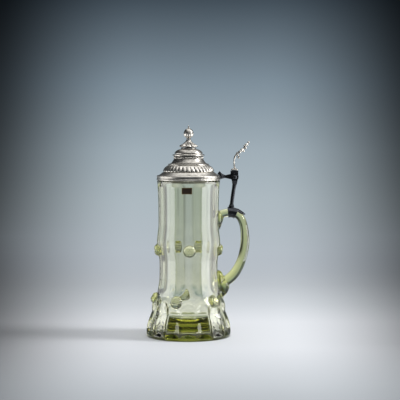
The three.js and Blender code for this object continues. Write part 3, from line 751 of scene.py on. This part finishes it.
def turned(name, section, node, reshape=None, sides=LID_SIDES, sharp=40, shell=True):
    """(radius, z) points turned about the axis: a shell's section, or a solid's outline."""
    angles = round_angles(sides)
    rings = [ring_at(reshape(r, angles, z) if reshape else r, angles, z) for r, z in section]
    mesh = mesh_from(*skin(rings, loop=shell))
    dressed(name, mesh, bright_pewter, "lid", [node], sharp)


rim_section = [
    (LOCATING_RADIUS - LID_WALL, LID_BASE - 3.2), (LOCATING_RADIUS, LID_BASE - 3.2),
    (LOCATING_RADIUS, LID_BASE), (RIM_RADIUS - 0.5, LID_BASE), (RIM_RADIUS, LID_BASE + 0.6),
    (RIM_RADIUS, LID_BASE + 1.5), (RIM_RADIUS - 0.5, LID_BASE + 1.9),
    (RIM_RADIUS - 0.5, RIM_TOP - 1.7), (RIM_RADIUS, RIM_TOP - 1.3), (RIM_RADIUS, RIM_TOP - 0.7),
    (RIM_RADIUS - 0.7, RIM_TOP), (RIM_RADIUS - 1.9, RIM_TOP + 0.1),
    ((RIM_RADIUS + FLANGE_RADIUS) / 2 - 0.6, RIM_TOP + 1.35),
    (FLANGE_RADIUS, FLANGE_TOP), (FLANGE_RADIUS - 2.2, FLANGE_TOP),
    (FLANGE_RADIUS - 2.2, FLANGE_TOP - LID_WALL), (LOCATING_RADIUS - LID_WALL, RIM_TOP - LID_WALL),
]
turned("rim_and_flange", eased(rim_section, 0.25), "lid_rim")
print("rim", 2 * RIM_RADIUS, "mm across")

# %% [markdown]
# Gadroons are a row of short bulging lobes, a very old ornament. Between lobes the section
# falls into a narrow groove, and each lobe swells in the middle and dies away at both ends, so
# the depth of the groove also depends on the height. A Catmull-Rom curve, which goes through all
# of its points, draws the swelling outline.

# %% Gadrooned dome
GADROONS = 36
GADROON_DEPTH = 1.15
GADROON_BASE = FLANGE_TOP + SHELL_GAP
GADROON_TOP = GADROON_BASE + 8.2
GADROON_TOP_RADIUS = 24.9
GADROON_FOOT = FLANGE_RADIUS - 0.4


def flowing(points, count):
    """Evenly spaced points on a Catmull-Rom curve through the given ones."""
    given = np.array(points, float)
    given = np.vstack([2 * given[0] - given[1], given, 2 * given[-1] - given[-2]])
    fine = []
    for a, b, c, d in zip(given, given[1:], given[2:], given[3:]):
        for t in np.linspace(0, 1, 24):
            fine.append(0.5 * (
                2 * b + (c - a) * t + (2 * a - 5 * b + 4 * c - d) * t ** 2
                + (3 * b - a - 3 * c + d) * t ** 3
            ))
    return spaced(fine, count)


def gadroon_section():
    across, rise = GADROON_FOOT - GADROON_TOP_RADIUS, GADROON_TOP - GADROON_BASE
    shape = [
        (0.16, 0), (0.03, 0.07), (0.0, 0.18), (0.14, 0.42), (0.45, 0.7), (0.82, 0.88), (1, 0.96),
    ]
    places = [(GADROON_FOOT - i * across, GADROON_BASE + u * rise) for i, u in shape]
    outside = flowing(places, 30)
    inside = [(r - LID_WALL - 0.9, z - 0.6) for r, z in outside[::-4] if z > GADROON_BASE + 1.2]
    return np.vstack([
        outside, [(GADROON_TOP_RADIUS, GADROON_TOP), (GADROON_TOP_RADIUS - LID_WALL, GADROON_TOP)],
        inside, [(GADROON_FOOT - 3, GADROON_BASE)],
    ])


def gadrooned(radius, angles, z):
    share = (z - GADROON_BASE) / (GADROON_TOP - GADROON_BASE)
    skin_radius = GADROON_FOOT - (GADROON_FOOT - GADROON_TOP_RADIUS) * share ** 1.8
    if radius < skin_radius - 1.4:
        return np.full_like(angles, radius)
    swell = blended([(0.02, 0), (0.16, 1), (0.72, 0.9), (0.92, 0)], share)
    groove = 1 - np.abs(np.cos(angles * GADROONS / 2)) ** 0.6
    return radius - GADROON_DEPTH * swell * groove


turned("gadrooned_dome", gadroon_section(), "lid_gadroon_dome", gadrooned, GADROONS * 16)
print("gadroons:", GADROONS)

# %% [markdown]
# The drum has a row of beads under its ring. Beads are half-round bumps in the same turned
# section, in and out with the angle where the height lies in the bead's own band.

# %% Drum with beads and ring
DRUM_BASE = GADROON_TOP + SHELL_GAP
DRUM_RISE = 12.6
DRUM_FOOT = 21.0
DRUM_RADIUS = 17.4
RING_RADIUS = 19.3
BEADS = 44
BEAD_Z = DRUM_BASE + 0.69 * DRUM_RISE
BEAD_RADIUS = 0.95


def drum_section():
    foot, slope, waist, shelf, nose = (
        DRUM_BASE + share * DRUM_RISE for share in (0.18, 0.42, 0.6, 0.86, 0.93)
    )
    ledge = GADROON_TOP_RADIUS - 0.3
    cove = flowing([
        (ledge - 0.2, DRUM_BASE + 1.1), (DRUM_FOOT, foot), (18.6, slope), (DRUM_RADIUS, waist),
    ], 18)
    band = [(DRUM_RADIUS, z) for z in np.linspace(BEAD_Z - BEAD_RADIUS, BEAD_Z + BEAD_RADIUS, 9)]
    ring = arc((RING_RADIUS - 0.9, nose), 0.9, DRUM_RISE * 0.07, -80, 80, 9)
    top = DRUM_BASE + DRUM_RISE
    return np.vstack([
        [(GADROON_TOP_RADIUS - LID_WALL, DRUM_BASE), (ledge - 0.3, DRUM_BASE)],
        arc((ledge - 0.45, DRUM_BASE + 0.5), 0.45, 0.45, -60, 80, 6),
        cove, band, [(DRUM_RADIUS - 0.1, shelf - 0.4), (DRUM_RADIUS + 0.1, shelf)], ring,
        [(RING_RADIUS - 1.6, top), (DRUM_RADIUS - LID_WALL - 0.4, top)],
        [(DRUM_RADIUS - LID_WALL, waist), (DRUM_FOOT - LID_WALL - 1.2, foot)],
    ])


def beaded(radius, angles, z):
    level = 1 - ((z - BEAD_Z) / BEAD_RADIUS) ** 2
    if level <= 0 or radius < DRUM_RADIUS - 0.5:
        return np.full_like(angles, radius)
    bead = np.abs(np.cos(angles * BEADS / 2))
    return radius + BEAD_RADIUS * 0.8 * np.sqrt(np.maximum(0, level + bead ** 2 - 1))


turned("drum_and_ring", drum_section(), "lid_drum", beaded, BEADS * 12)
print("beads:", BEADS)

# %% [markdown]
# The crown is a low polished dome with a fillet line turned into its shoulder, and a hole in
# the middle for the finial's spigot.

# %% Crown
CROWN_BASE = DRUM_BASE + DRUM_RISE + SHELL_GAP
CROWN_TOP = CROWN_BASE + 7.6
CROWN_RADIUS = 16.8
CROWN_NECK = 9.0
SPIGOT_RADIUS = 3.0
hole = SPIGOT_RADIUS + SHELL_GAP
dome = arc((0, CROWN_BASE + 1), CROWN_RADIUS, 6.2, 4, 57, 16)
hollow = arc((0, CROWN_BASE), CROWN_RADIUS - LID_WALL, 5.0, 74, 2, 12)
crown_section = [
    (CROWN_RADIUS - LID_WALL, CROWN_BASE), (CROWN_RADIUS - 0.2, CROWN_BASE),
    (CROWN_RADIUS, CROWN_BASE + 0.5), *dome[:4],
    (dome[4][0] - 0.45, dome[4][1]), (dome[5][0] - 0.1, dome[5][1]), *dome[6:],
    (CROWN_NECK, CROWN_TOP - 0.7), (CROWN_NECK, CROWN_TOP), (hole, CROWN_TOP),
    (hole, CROWN_TOP - LID_WALL + 0.4), *hollow,
]
turned("crown", eased(crown_section, 0.2), "lid_crown")
print("crown top at", round(CROWN_TOP, 1), "mm")

# %% [markdown]
# ## The finial
# A calyx of eight petals opens downwards over the crown. Petals are again a turned form whose
# radius falls between them, with a fine vein along each. A spigot under it goes into the crown.

# %% Calyx
CALYX_BASE = CROWN_TOP + SHELL_GAP
CALYX_RISE = 10.0
CALYX_RADIUS = 11.4
PETALS = 8
FINIAL_SIDES = 160


def petalled(radius, angles, z):
    share = (z - CALYX_BASE) / CALYX_RISE
    petal = np.abs(np.cos(angles * PETALS / 2)) ** 0.55
    depth = blended([(0.03, 0), (0.14, 0.2), (0.5, 0.2), (0.9, 0)], share)
    vein = 0.035 * np.exp(-(np.sin(angles * PETALS / 2) / 0.16) ** 2)
    return radius * (1 - depth * (1 - petal) - vein * (depth > 0.02))


def calyx_profile():
    bell = [
        (0.1, 0.97), (0.16, 1.0), (0.3, 0.85), (0.46, 0.61), (0.66, 0.39), (0.84, 0.27), (1, 0.25),
    ]
    places = [(CALYX_RADIUS * wide, CALYX_BASE + up * CALYX_RISE) for up, wide in bell]
    spigot = CROWN_TOP - 1.0
    return [
        (0.3, spigot), (SPIGOT_RADIUS - 0.3, spigot), (SPIGOT_RADIUS, spigot + 0.3),
        (SPIGOT_RADIUS, CALYX_BASE), (CROWN_NECK - 0.8, CALYX_BASE),
        (CROWN_NECK - 0.5, CALYX_BASE + 0.2), *flowing(places, 34), (0.3, CALYX_BASE + CALYX_RISE),
    ]


turned("petal_calyx", calyx_profile(), "finial_calyx", petalled, FINIAL_SIDES, 50, shell=False)
print("calyx:", PETALS, "petals")

# %% [markdown]
# A knob like a bud stands on the calyx. Its lower half sits in a cup of small leaves, and it
# ends in a short spike.

# %% Knob
KNOB_BASE = CALYX_BASE + CALYX_RISE + SHELL_GAP
KNOB_RADIUS = 6.1
KNOB_NECK = 2.8
KNOB_CENTRE = KNOB_BASE + 1.0 + KNOB_RADIUS - 0.5
CUP_LEAVES = 8
SPIKE_RISE = 3.6


def budded(radius, angles, z):
    share = (z - KNOB_BASE) / (KNOB_CENTRE - KNOB_BASE)
    leaf = np.abs(np.cos(angles * CUP_LEAVES / 2)) ** 0.6
    depth = blended([(0.2, 0), (0.4, 0.1), (0.75, 0.12), (0.98, 0)], share)
    return radius * (1 - depth * (1 - leaf))


def knob_profile():
    sphere = arc((0, KNOB_CENTRE), KNOB_RADIUS, KNOB_RADIUS, -66, 76, 40)
    lower = [(r, z) for r, z in sphere if z < KNOB_CENTRE - 0.3]
    upper = [(r - 0.25, z) for r, z in sphere if z > KNOB_CENTRE]
    shoulder = KNOB_CENTRE + KNOB_RADIUS
    return [
        (0.3, KNOB_BASE), (KNOB_NECK - 0.2, KNOB_BASE), (KNOB_NECK, KNOB_BASE + 0.2),
        (KNOB_NECK - 0.5, KNOB_BASE + 0.6), *lower, *upper,
        (1.3, shoulder + 0.1), (1.25, shoulder + 0.4), (0.9, shoulder + 0.6),
        (0.45, shoulder + SPIKE_RISE - 0.4), (0.08, shoulder + SPIKE_RISE - 0.02),
    ]


turned("bud_knob", knob_profile(), "finial_knob", budded, FINIAL_SIDES, 50, shell=False)
print("finial ends at", round(KNOB_CENTRE + KNOB_RADIUS + SPIKE_RISE, 1), "mm")

# %% [markdown]
# ## The thumblift
# The thumb presses on this leafy scroll to open the lid. It was cast openwork: a bent stem that
# runs on as the midrib, curved side ribs with daylight between, lobes along the edge and a small
# curl. Each is a rod or a ball, doubled in a mirror where it has a twin, and all are fused.

# %% Thumblift
HINGE_X = LIP_RADIUS + 17.3
HINGE_RISE = 4.0
BLOCK_RISE = 7.8
LIFT_BASE = HEIGHT + HINGE_RISE + BLOCK_RISE + SHELL_GAP
LIFT_HEIGHT = 34.0
LIFT_REACH = 17.0
STEM_POINTS = 120


def lift_point(across, up):
    return HINGE_X + across * LIFT_REACH, LIFT_BASE + up * LIFT_HEIGHT


stem = flowing([lift_point(*p) for p in (
    (0.03, 0.02), (-0.03, 0.2), (-0.03, 0.37), (0.04, 0.5), (0.24, 0.61),
    (0.52, 0.7), (0.73, 0.82), (0.87, 0.92), (1.0, 1.0),
)], STEM_POINTS)
stem_heading = unit(np.gradient(stem, axis=0))


def stem_at(share, off=0.0):
    """A place along the stem, moved off its face by a distance."""
    i = int(round(share * (len(stem) - 1)))
    x, z = stem[i]
    dx, dz = stem_heading[i]
    return x - dz * off, z + dx * off


def bowed_rod(places, thickness):
    """A round rod through (share along the stem, distance to the side, off the face)."""
    line = flowing([
        (stem_at(share, off)[0], side, stem_at(share, off)[1]) for share, side, off in places
    ], 60)
    heading = unit(np.gradient(line, axis=0))
    across = unit(np.cross(heading, (0.0, 1.0, 0.3)))
    up = np.cross(heading, across)
    turn = round_angles(16)[:, None]
    thick = np.interp(np.linspace(0, 1, len(line)), (0, 0.5, 1), thickness)
    rings = [
        centre + t * (np.cos(turn) * a + np.sin(turn) * b)
        for centre, a, b, t in zip(line, across, up, thick)
    ]
    return skin(rings)


def mirrored(form):
    points, faces = form
    return points * (1, -1, 1), faces


def lobe(share, side, off, half):
    x, z = stem_at(share, off)
    return ball(np.array([x, side, z]), half, 20, 12)


print("stem:", round(float(np.ptp(stem[:, 1])), 1), "mm high")

# %% [markdown]
# Leaves are measured from the stem: a share of the way along it, a distance to the side and one
# off its face. So a change to the stem's line carries them along.

# %% Leaves and foot plate
LIFT_VOXEL = 0.28
LIFT_ROUNDS = 4
PLATE_LENGTH = 8.4
PLATE_WIDTH = 10.2
PLATE_SIDES = 48
CURL_POINTS = 40

along_stem = np.linspace(0, 1, STEM_POINTS)
stem_thick = blended([(0, 1.0), (0.4, 0.95), (0.6, 1.3), (1, 0.75)], along_stem)
stem_wide = blended([
    (0, 2.3), (0.1, 1.9), (0.36, 2.2), (0.46, 2.6), (0.62, 1.5), (0.8, 2.4), (1, 0.9),
], along_stem)
side_forms = [
    bowed_rod([(0.44, 1.2, 0), (0.5, 4.2, 0.1), (0.6, 5.2, 0.3), (0.7, 4.0, 0.2), (0.76, 1.6, 0)],
              (1.0, 1.15, 1.0)),
    bowed_rod([(0.74, 1.0, 0), (0.79, 3.0, 0.3), (0.86, 2.9, 0.3), (0.93, 0.8, 0)],
              (0.9, 1.0, 0.8)),
    lobe(0.5, 4.6, 0.5, (1.1, 1.3, 1.4)),
    lobe(0.6, 5.4, -0.3, (1.2, 1.4, 1.5)),
    lobe(0.69, 4.9, 1.1, (1.2, 1.3, 1.3)),
    lobe(0.8, 3.6, -1.2, (1.3, 1.2, 1.4)),
    lobe(0.88, 2.6, 1.0, (1.1, 1.1, 1.2)),
]
curl = ((0, 0.42), (0.1, 0.53), (0.24, 0.54), (0.29, 0.47))
curl_line = flowing([lift_point(*p) for p in curl], CURL_POINTS)
curl_x, curl_z = lift_point(0.28, 0.45)
lift_forms = [
    rod(stem, stem_thick, stem_wide),
    rod(curl_line, np.linspace(1.1, 0.9, CURL_POINTS), np.linspace(2.0, 2.6, CURL_POINTS)),
    ball((curl_x, 0, curl_z), (1.5, 2.7, 1.5)),
    lobe(0.7, 0.0, -1.6, (1.7, 1.8, 1.5)),
    lobe(0.82, 0.0, 1.3, (1.3, 1.5, 1.3)),
    lobe(0.91, 0.0, -1.0, (1.1, 1.3, 1.2)),
    lobe(0.985, 0.0, 0.0, (1.4, 1.7, 1.4)),
    *side_forms, *[mirrored(form) for form in side_forms],
]


def foot_plate():
    """A plate with rounded corners that the stem grows out of."""
    turn = round_angles(PLATE_SIDES)
    corner = (np.abs(np.cos(turn)) ** 4 + np.abs(np.sin(turn)) ** 4) ** -0.25
    steps = [(0.05, 0), (0.94, 0), (1, 0.25), (1, 1.1), (0.92, 1.5), (0.62, 1.9), (0.3, 3.0)]
    rings = []
    for share, z in steps:
        rings.append(np.stack([
            HINGE_X - 0.15 + PLATE_LENGTH / 2 * share * corner * np.cos(turn),
            PLATE_WIDTH / 2 * share * corner * np.sin(turn), np.full(PLATE_SIDES, LIFT_BASE + z),
        ], 1))
    return skin(rings)


lift = dressed(
    "leafy_thumblift", fused([*lift_forms, foot_plate()], LIFT_VOXEL, LIFT_ROUNDS),
    bright_pewter, "lid", ["thumblift"],
)
print("thumblift:", len(lift.data.polygons), "faces")

# %% [markdown]
# ## A paper label
# A small dark paper label with a pale edge is glued to the front panel under the lip. It is
# bare. Its paper is varnished, so it is a little shiny, and its fibres give it a faint mottle.

# %% Varnished paper
LABEL_WIDTH = 12.0
LABEL_HEIGHT = 7.6
LABEL_BORDER = 0.55
FIBRE = 0.5 * MM


def label_paper():
    material, tree = new_material("varnished_paper")
    place = add_node(tree, "ShaderNodeTexCoord").outputs["Generated"]
    axes = add_node(tree, "ShaderNodeSeparateXYZ", links={"Vector": place})
    edges = []
    for axis, size in (("X", LABEL_WIDTH), ("Z", LABEL_HEIGHT)):
        off = add_node(
            tree, "ShaderNodeMath", {1: 0.5}, {0: axes.outputs[axis]}, operation="SUBTRACT",
        )
        far = add_node(tree, "ShaderNodeMath", links={0: off.outputs[0]}, operation="ABSOLUTE")
        edges.append(add_node(
            tree, "ShaderNodeMath", {1: 0.5 - LABEL_BORDER / size}, {0: far.outputs[0]},
            operation="GREATER_THAN",
        ).outputs[0])
    border = add_node(tree, "ShaderNodeMath", links={0: edges[0], 1: edges[1]}, operation="MAXIMUM")
    fibre = add_node(
        tree, "ShaderNodeTexNoise", {"Scale": 1 / FIBRE, "Detail": 3.0},
        {"Vector": add_node(tree, "ShaderNodeTexCoord").outputs["Object"]},
    )
    ink = add_node(
        tree, "ShaderNodeMix", {6: linear("#2a1a0c"), 7: linear("#3d2a12")},
        {0: fibre.outputs["Fac"]}, data_type="RGBA",
    )
    colour = add_node(
        tree, "ShaderNodeMix", {7: linear("#8d7440")}, {0: border.outputs[0], 6: ink.outputs[2]},
        data_type="RGBA",
    )
    paper = add_node(
        tree, "ShaderNodeBsdfPrincipled", {"Roughness": 0.45}, {"Base Color": colour.outputs[2]},
    )
    add_node(tree, "ShaderNodeOutputMaterial", links={"Surface": paper.outputs["BSDF"]})
    return material


varnished_paper = label_paper()
print("paper made, with a border of", LABEL_BORDER, "mm")

# %% [markdown]
# The label follows the curve of the glass. It is as thin as card, with an edge of its own.

# %% Label
LABEL_THICKNESS = 0.14
LABEL_COLUMNS = 25
LABEL_ROWS = 13
LABEL_Z = 175.6
LABEL_ACROSS = -1.6


def label_skin():
    columns = np.linspace(-LABEL_WIDTH / 2, LABEL_WIDTH / 2, LABEL_COLUMNS) + LABEL_ACROSS
    rings = []
    for v in np.linspace(-LABEL_HEIGHT / 2, LABEL_HEIGHT / 2, LABEL_ROWS):
        front = on_wall(0.0, LABEL_Z, columns, v, SEAT_GAP + LABEL_THICKNESS)
        back = on_wall(0.0, LABEL_Z, columns[::-1], v, SEAT_GAP)
        rings.append(np.vstack([front, back]))
    return skin(rings)


dressed("bare_label", mesh_from(*label_skin()), varnished_paper, "mug", [], sharp=30)
print("label", LABEL_WIDTH, "by", LABEL_HEIGHT, "mm")

# %% [markdown]
# ## Camera, floor and light
# The photograph was taken from about one and a half metres with a long lens, at the height of
# the lid, so the mug's sides hardly converge. The lens follows from the photograph's scale at
# the mug, and the aim from the pixels where the mug's axis and its base lie.

# %% Camera
FRAME_PIXELS = 400
SENSOR = 36.0
MM_PER_PIXEL = 1.2
AXIS_PIXEL = 188.6
BASE_PIXEL = 336.2
CAMERA_AWAY = 1475.0
CAMERA_HEIGHT = 233.0

middle_x = (FRAME_PIXELS / 2 - AXIS_PIXEL) * MM_PER_PIXEL
middle_z = (BASE_PIXEL - FRAME_PIXELS / 2) * MM_PER_PIXEL
eye = Vector((middle_x, -CAMERA_AWAY, CAMERA_HEIGHT)) * MM
target = Vector((middle_x, 0, middle_z)) * MM
distance = (target - eye).length / MM

camera_data = bpy.data.cameras.new("camera")
camera_data.sensor_width = SENSOR
camera_data.lens = SENSOR * distance / (MM_PER_PIXEL * FRAME_PIXELS)
camera_data.clip_start = 0.05
camera = bpy.data.objects.new("camera", camera_data)
camera.location = eye
camera.rotation_euler = (target - eye).to_track_quat("-Z", "Y").to_euler()
bpy.context.collection.objects.link(camera)
bpy.context.scene.camera = camera
print("lens", round(camera_data.lens, 1), "mm")

# %% [markdown]
# The sweep is one sheet: a flat floor that curves up into a wall, so no edge shows behind the
# mug. It lies a hair below the base of the glass, so that no two faces share a plane.

# %% Sweep
FLOOR_FRONT = -2600
FLOOR_BACK = 700
WALL_CURVE = 700
WALL_TOP = 2400
HALF_WIDTH = 2400
FLOOR_GAP = 0.05


def sweep_sheet():
    line = [(FLOOR_FRONT, 0), (-800, 0), (0, 0)]
    line += arc((FLOOR_BACK, WALL_CURVE), WALL_CURVE, WALL_CURVE, -90, 0, 32)
    line += [(FLOOR_BACK + WALL_CURVE, WALL_TOP)]
    points = [(side * HALF_WIDTH, y, z - FLOOR_GAP) for y, z in line for side in (-1, 1)]
    faces = [(2 * i, 2 * i + 1, 2 * i + 3, 2 * i + 2) for i in range(len(line) - 1)]
    mesh = mesh_from(points, faces)
    mesh.shade_smooth()
    sheet = bpy.data.objects.new("sweep", mesh)
    bpy.context.collection.objects.link(sheet)
    return sheet


sweep = sweep_sheet()
print("sweep", (FLOOR_BACK - FLOOR_FRONT) / 1000, "m of floor")

# %% [markdown]
# A pool of light is painted on the sheet, in its colour and its glow, so it is nearly white round
# the mug and falls to dark blue grey above, at the sides and towards the camera. Farther out it
# is pale again. That matters to the glass: its edges bend rays far to the side, and show the dark
# and the pale there as dark and white lines. Along the sheet the colours are a ramp over depth
# plus height. Across it they are scaled by how many half widths of the pool a place is from its
# middle, and the pool is wider farther back.

# %% Pool of light
POOL_ASIDE = 22
POOL_WIDTHS = (200, 315)
WIDTHS_ALONG = (-60, 1000)
POOL_CORE = 0.42
POOL_EDGE = 1.58
EDGE_LIGHT = 0.07
FAR_START = 1.8
FAR_END = 2.4
FAR_SHARE = 0.8
pool = [
    (-1500, "#23292e"), (-700, "#7b8389"), (-300, "#ced3d8"), (-90, "#e8ebf0"), (110, "#e8ebf0"),
    (283, "#d6dbe0"), (530, "#c4cad0"), (850, "#b7bfc7"), (1200, "#adb9c0"), (1420, "#a0aeb7"),
    (1680, "#7f8f9b"), (1950, "#414d57"), (2500, "#1c2227"),
]


def greater_ramp(tree, value, ramps):
    """The greater of two smooth ramps, each (start, end, value at start, value at end)."""
    sockets = ("From Min", "From Max", "To Min", "To Max")
    sides = [add_node(
        tree, "ShaderNodeMapRange", dict(zip(sockets, ramp)), {"Value": value},
        interpolation_type="SMOOTHSTEP",
    ).outputs[0] for ramp in ramps]
    return add_node(
        tree, "ShaderNodeMath", links=dict(enumerate(sides)), operation="MAXIMUM",
    ).outputs[0]


def pool_colour(tree, across, along):
    """The sheet's colour, a painted pool of light, from sockets for a place across and along it."""
    low, high = pool[0][0], pool[-1][0]
    share = add_node(
        tree, "ShaderNodeMapRange", {"From Min": low * MM, "From Max": high * MM},
        {"Value": along},
    )
    ramp = add_node(tree, "ShaderNodeValToRGB", links={"Fac": share.outputs[0]})
    stops = ramp.color_ramp.elements
    for i, (spot, colour) in enumerate(pool):
        stop = stops[i] if i < 2 else stops.new(1.0)
        stop.position = (spot - low) / (high - low)
        stop.color = linear(colour)
    width = add_node(
        tree, "ShaderNodeMapRange", {
            "From Min": WIDTHS_ALONG[0] * MM, "From Max": WIDTHS_ALONG[1] * MM,
            "To Min": POOL_WIDTHS[0] * MM, "To Max": POOL_WIDTHS[1] * MM,
        }, {"Value": along},
    )
    aside = add_node(
        tree, "ShaderNodeMath", {1: POOL_ASIDE * MM}, {0: across}, operation="SUBTRACT",
    )
    aside = add_node(tree, "ShaderNodeMath", links={0: aside.outputs[0]}, operation="ABSOLUTE")
    aside = add_node(
        tree, "ShaderNodeMath", links={0: aside.outputs[0], 1: width.outputs[0]},
        operation="DIVIDE",
    )
    fall = greater_ramp(tree, aside.outputs[0], [
        (POOL_CORE, POOL_EDGE, 1.0, EDGE_LIGHT), (FAR_START, FAR_END, 0.0, FAR_SHARE),
    ])
    return add_node(
        tree, "ShaderNodeVectorMath", links={0: ramp.outputs["Color"], "Scale": fall},
        operation="SCALE",
    ).outputs[0]


print("pool of light: about", 2 * POOL_WIDTHS[0], "mm wide at the mug")

# %% [markdown]
# Hardly any light gets in under the foot's rim. So a ring of shade is laid on the floor there,
# and the glass shows it as a dark band.

# %% Shade under the foot
SHADE_INSIDE = 26
SHADE_START = 38
SHADE_END = 46
SHADE_OUTSIDE = 52
SHADE_LIGHT = 0.02


def shade_under_foot(tree, place):
    """A factor that is 1 on the open floor and nearly 0 in a ring round the axis."""
    reach = add_node(tree, "ShaderNodeVectorMath", links={0: place}, operation="LENGTH")
    return greater_ramp(tree, reach.outputs["Value"], [
        (SHADE_START * MM, SHADE_INSIDE * MM, SHADE_LIGHT, 1.0),
        (SHADE_END * MM, SHADE_OUTSIDE * MM, SHADE_LIGHT, 1.0),
    ])


print("ring of shade:", SHADE_INSIDE, "to", SHADE_OUTSIDE, "mm from the axis")

# %% [markdown]
# Rays through glass see the pool's colours as they are written. Camera and mirror rays see them
# so on the wall, but on the floor four fifths of what they see is real lamp light, which keeps
# the shadow.

# %% Sweep material
GLOW_SHARE = 0.2
GLOW_RISE = (200, 900)


def sweep_material():
    material, tree = new_material("paper_sweep")
    place = add_node(tree, "ShaderNodeTexCoord").outputs["Object"]
    axes = add_node(tree, "ShaderNodeSeparateXYZ", links={"Vector": place})
    along = add_node(
        tree, "ShaderNodeMath", links={0: axes.outputs["Y"], 1: axes.outputs["Z"]}, operation="ADD",
    ).outputs[0]
    colour = pool_colour(tree, axes.outputs["X"], along)
    shade = shade_under_foot(tree, place)
    lit = add_node(
        tree, "ShaderNodeVectorMath", links={0: colour, "Scale": shade}, operation="SCALE",
    )
    paper = add_node(tree, "ShaderNodeBsdfDiffuse", links={"Color": lit.outputs[0]})
    # The sheet glows with its painted pool of light, though it is no lamp
    glow = add_node(tree, "ShaderNodeEmission", links={"Color": colour, "Strength": shade})
    rays = add_node(tree, "ShaderNodeLightPath")
    seen = rays.outputs["Is Camera Ray"]
    for kind in ("Is Glossy Ray", "Is Transmission Ray"):
        seen = add_node(
            tree, "ShaderNodeMath", links={0: seen, 1: rays.outputs[kind]}, operation="MAXIMUM",
        ).outputs[0]
    plain = add_node(
        tree, "ShaderNodeMapRange", {
            "From Min": GLOW_RISE[0] * MM, "From Max": GLOW_RISE[1] * MM,
            "To Min": GLOW_SHARE, "To Max": 1.0,
        }, {"Value": along},
    )
    plain = add_node(
        tree, "ShaderNodeMath", links={0: plain.outputs[0], 1: rays.outputs["Is Transmission Ray"]},
        operation="MAXIMUM",
    )
    mixed = add_node(
        tree, "ShaderNodeMath", links={0: seen, 1: plain.outputs[0]}, operation="MULTIPLY",
    )
    mix = add_node(
        tree, "ShaderNodeMixShader",
        links={0: mixed.outputs[0], 1: paper.outputs["BSDF"], 2: glow.outputs["Emission"]},
    )
    add_node(tree, "ShaderNodeOutputMaterial", links={"Surface": mix.outputs["Shader"]})
    return material


sweep.data.materials.append(sweep_material())
print("sweep material:", len(sweep.data.materials[0].node_tree.nodes), "nodes")

# %% [markdown]
# A white card stands at each side of the mug with a tray of light at its foot. Upright walls
# mirror them beside their dark middle, which shows the unlit room behind the camera: the dim
# world and the sheet's painted dark front. Rays through the glass miss all four, so that a side
# view doesn't show one behind the mug, and they put no light on the floor. The key lamp is high
# at the right and casts the shadow to the left. One lamp above and one over the front light what
# slopes upwards, so the lid is bright in the middle and dark at its flanks, and the gap between
# the two leaves the round edge of the foot dark. The world is nearly dark too, as a studio is.

# %% Lamps
ROOM_LIGHT = 0.12


def soft_box(name, place, aim, width, height, watts):
    data = bpy.data.lights.new(name, "AREA")
    data.shape = "RECTANGLE"
    data.size = width
    data.size_y = height
    data.energy = watts
    lamp = bpy.data.objects.new(name, data)
    lamp.location = place
    lamp.rotation_euler = (Vector(aim) - Vector(place)).to_track_quat("-Z", "Y").to_euler()
    bpy.context.collection.objects.link(lamp)
    return lamp


cards = [
    soft_box("card_left", (-0.45, -0.02, 0.1), (0, -0.02, 0.1), 0.4, 0.2, 0.95),
    soft_box("card_right", (0.45, -0.02, 0.1), (0, -0.02, 0.1), 0.4, 0.2, 1.3),
    soft_box("tray_left", (-0.36, -0.02, 0.004), (-0.36, -0.0201, 1), 0.17, 0.4, 0.7),
    soft_box("tray_right", (0.36, -0.02, 0.004), (0.36, -0.0201, 1), 0.17, 0.4, 1.0),
]
for card in cards:
    card.visible_transmission = card.visible_diffuse = False
soft_box("box_key", (1.35, -0.15, 1.1), (0, 0, 0.1), 0.45, 0.9, 20.0)
soft_box("box_above", (0.1, 0.15, 1.15), (0.1, 0.1499, 0), 1.0, 1.5, 9.0)
soft_box("box_front", (0.1, -1.35, 1.15), (0.1, -1.3501, 0), 1.0, 0.5, 3.0)

world = bpy.data.worlds.new("studio")
world.use_nodes = True
bpy.context.scene.world = world
room = world.node_tree.nodes["Background"].inputs
room["Color"].default_value = linear("#aab2ba")
room["Strength"].default_value = ROOM_LIGHT
print("lamps:", len(cards), "cards and trays and 3 boxes")

# %% [markdown]
# ## Finish
# Light passes through many glass faces on its way, so the ray may bounce more often than usual.

# %% Finish
scene = bpy.context.scene
scene.view_settings.view_transform = "Standard"
scene.cycles.max_bounces = 24
scene.cycles.transmission_bounces = 20
scene.cycles.transparent_max_bounces = 16
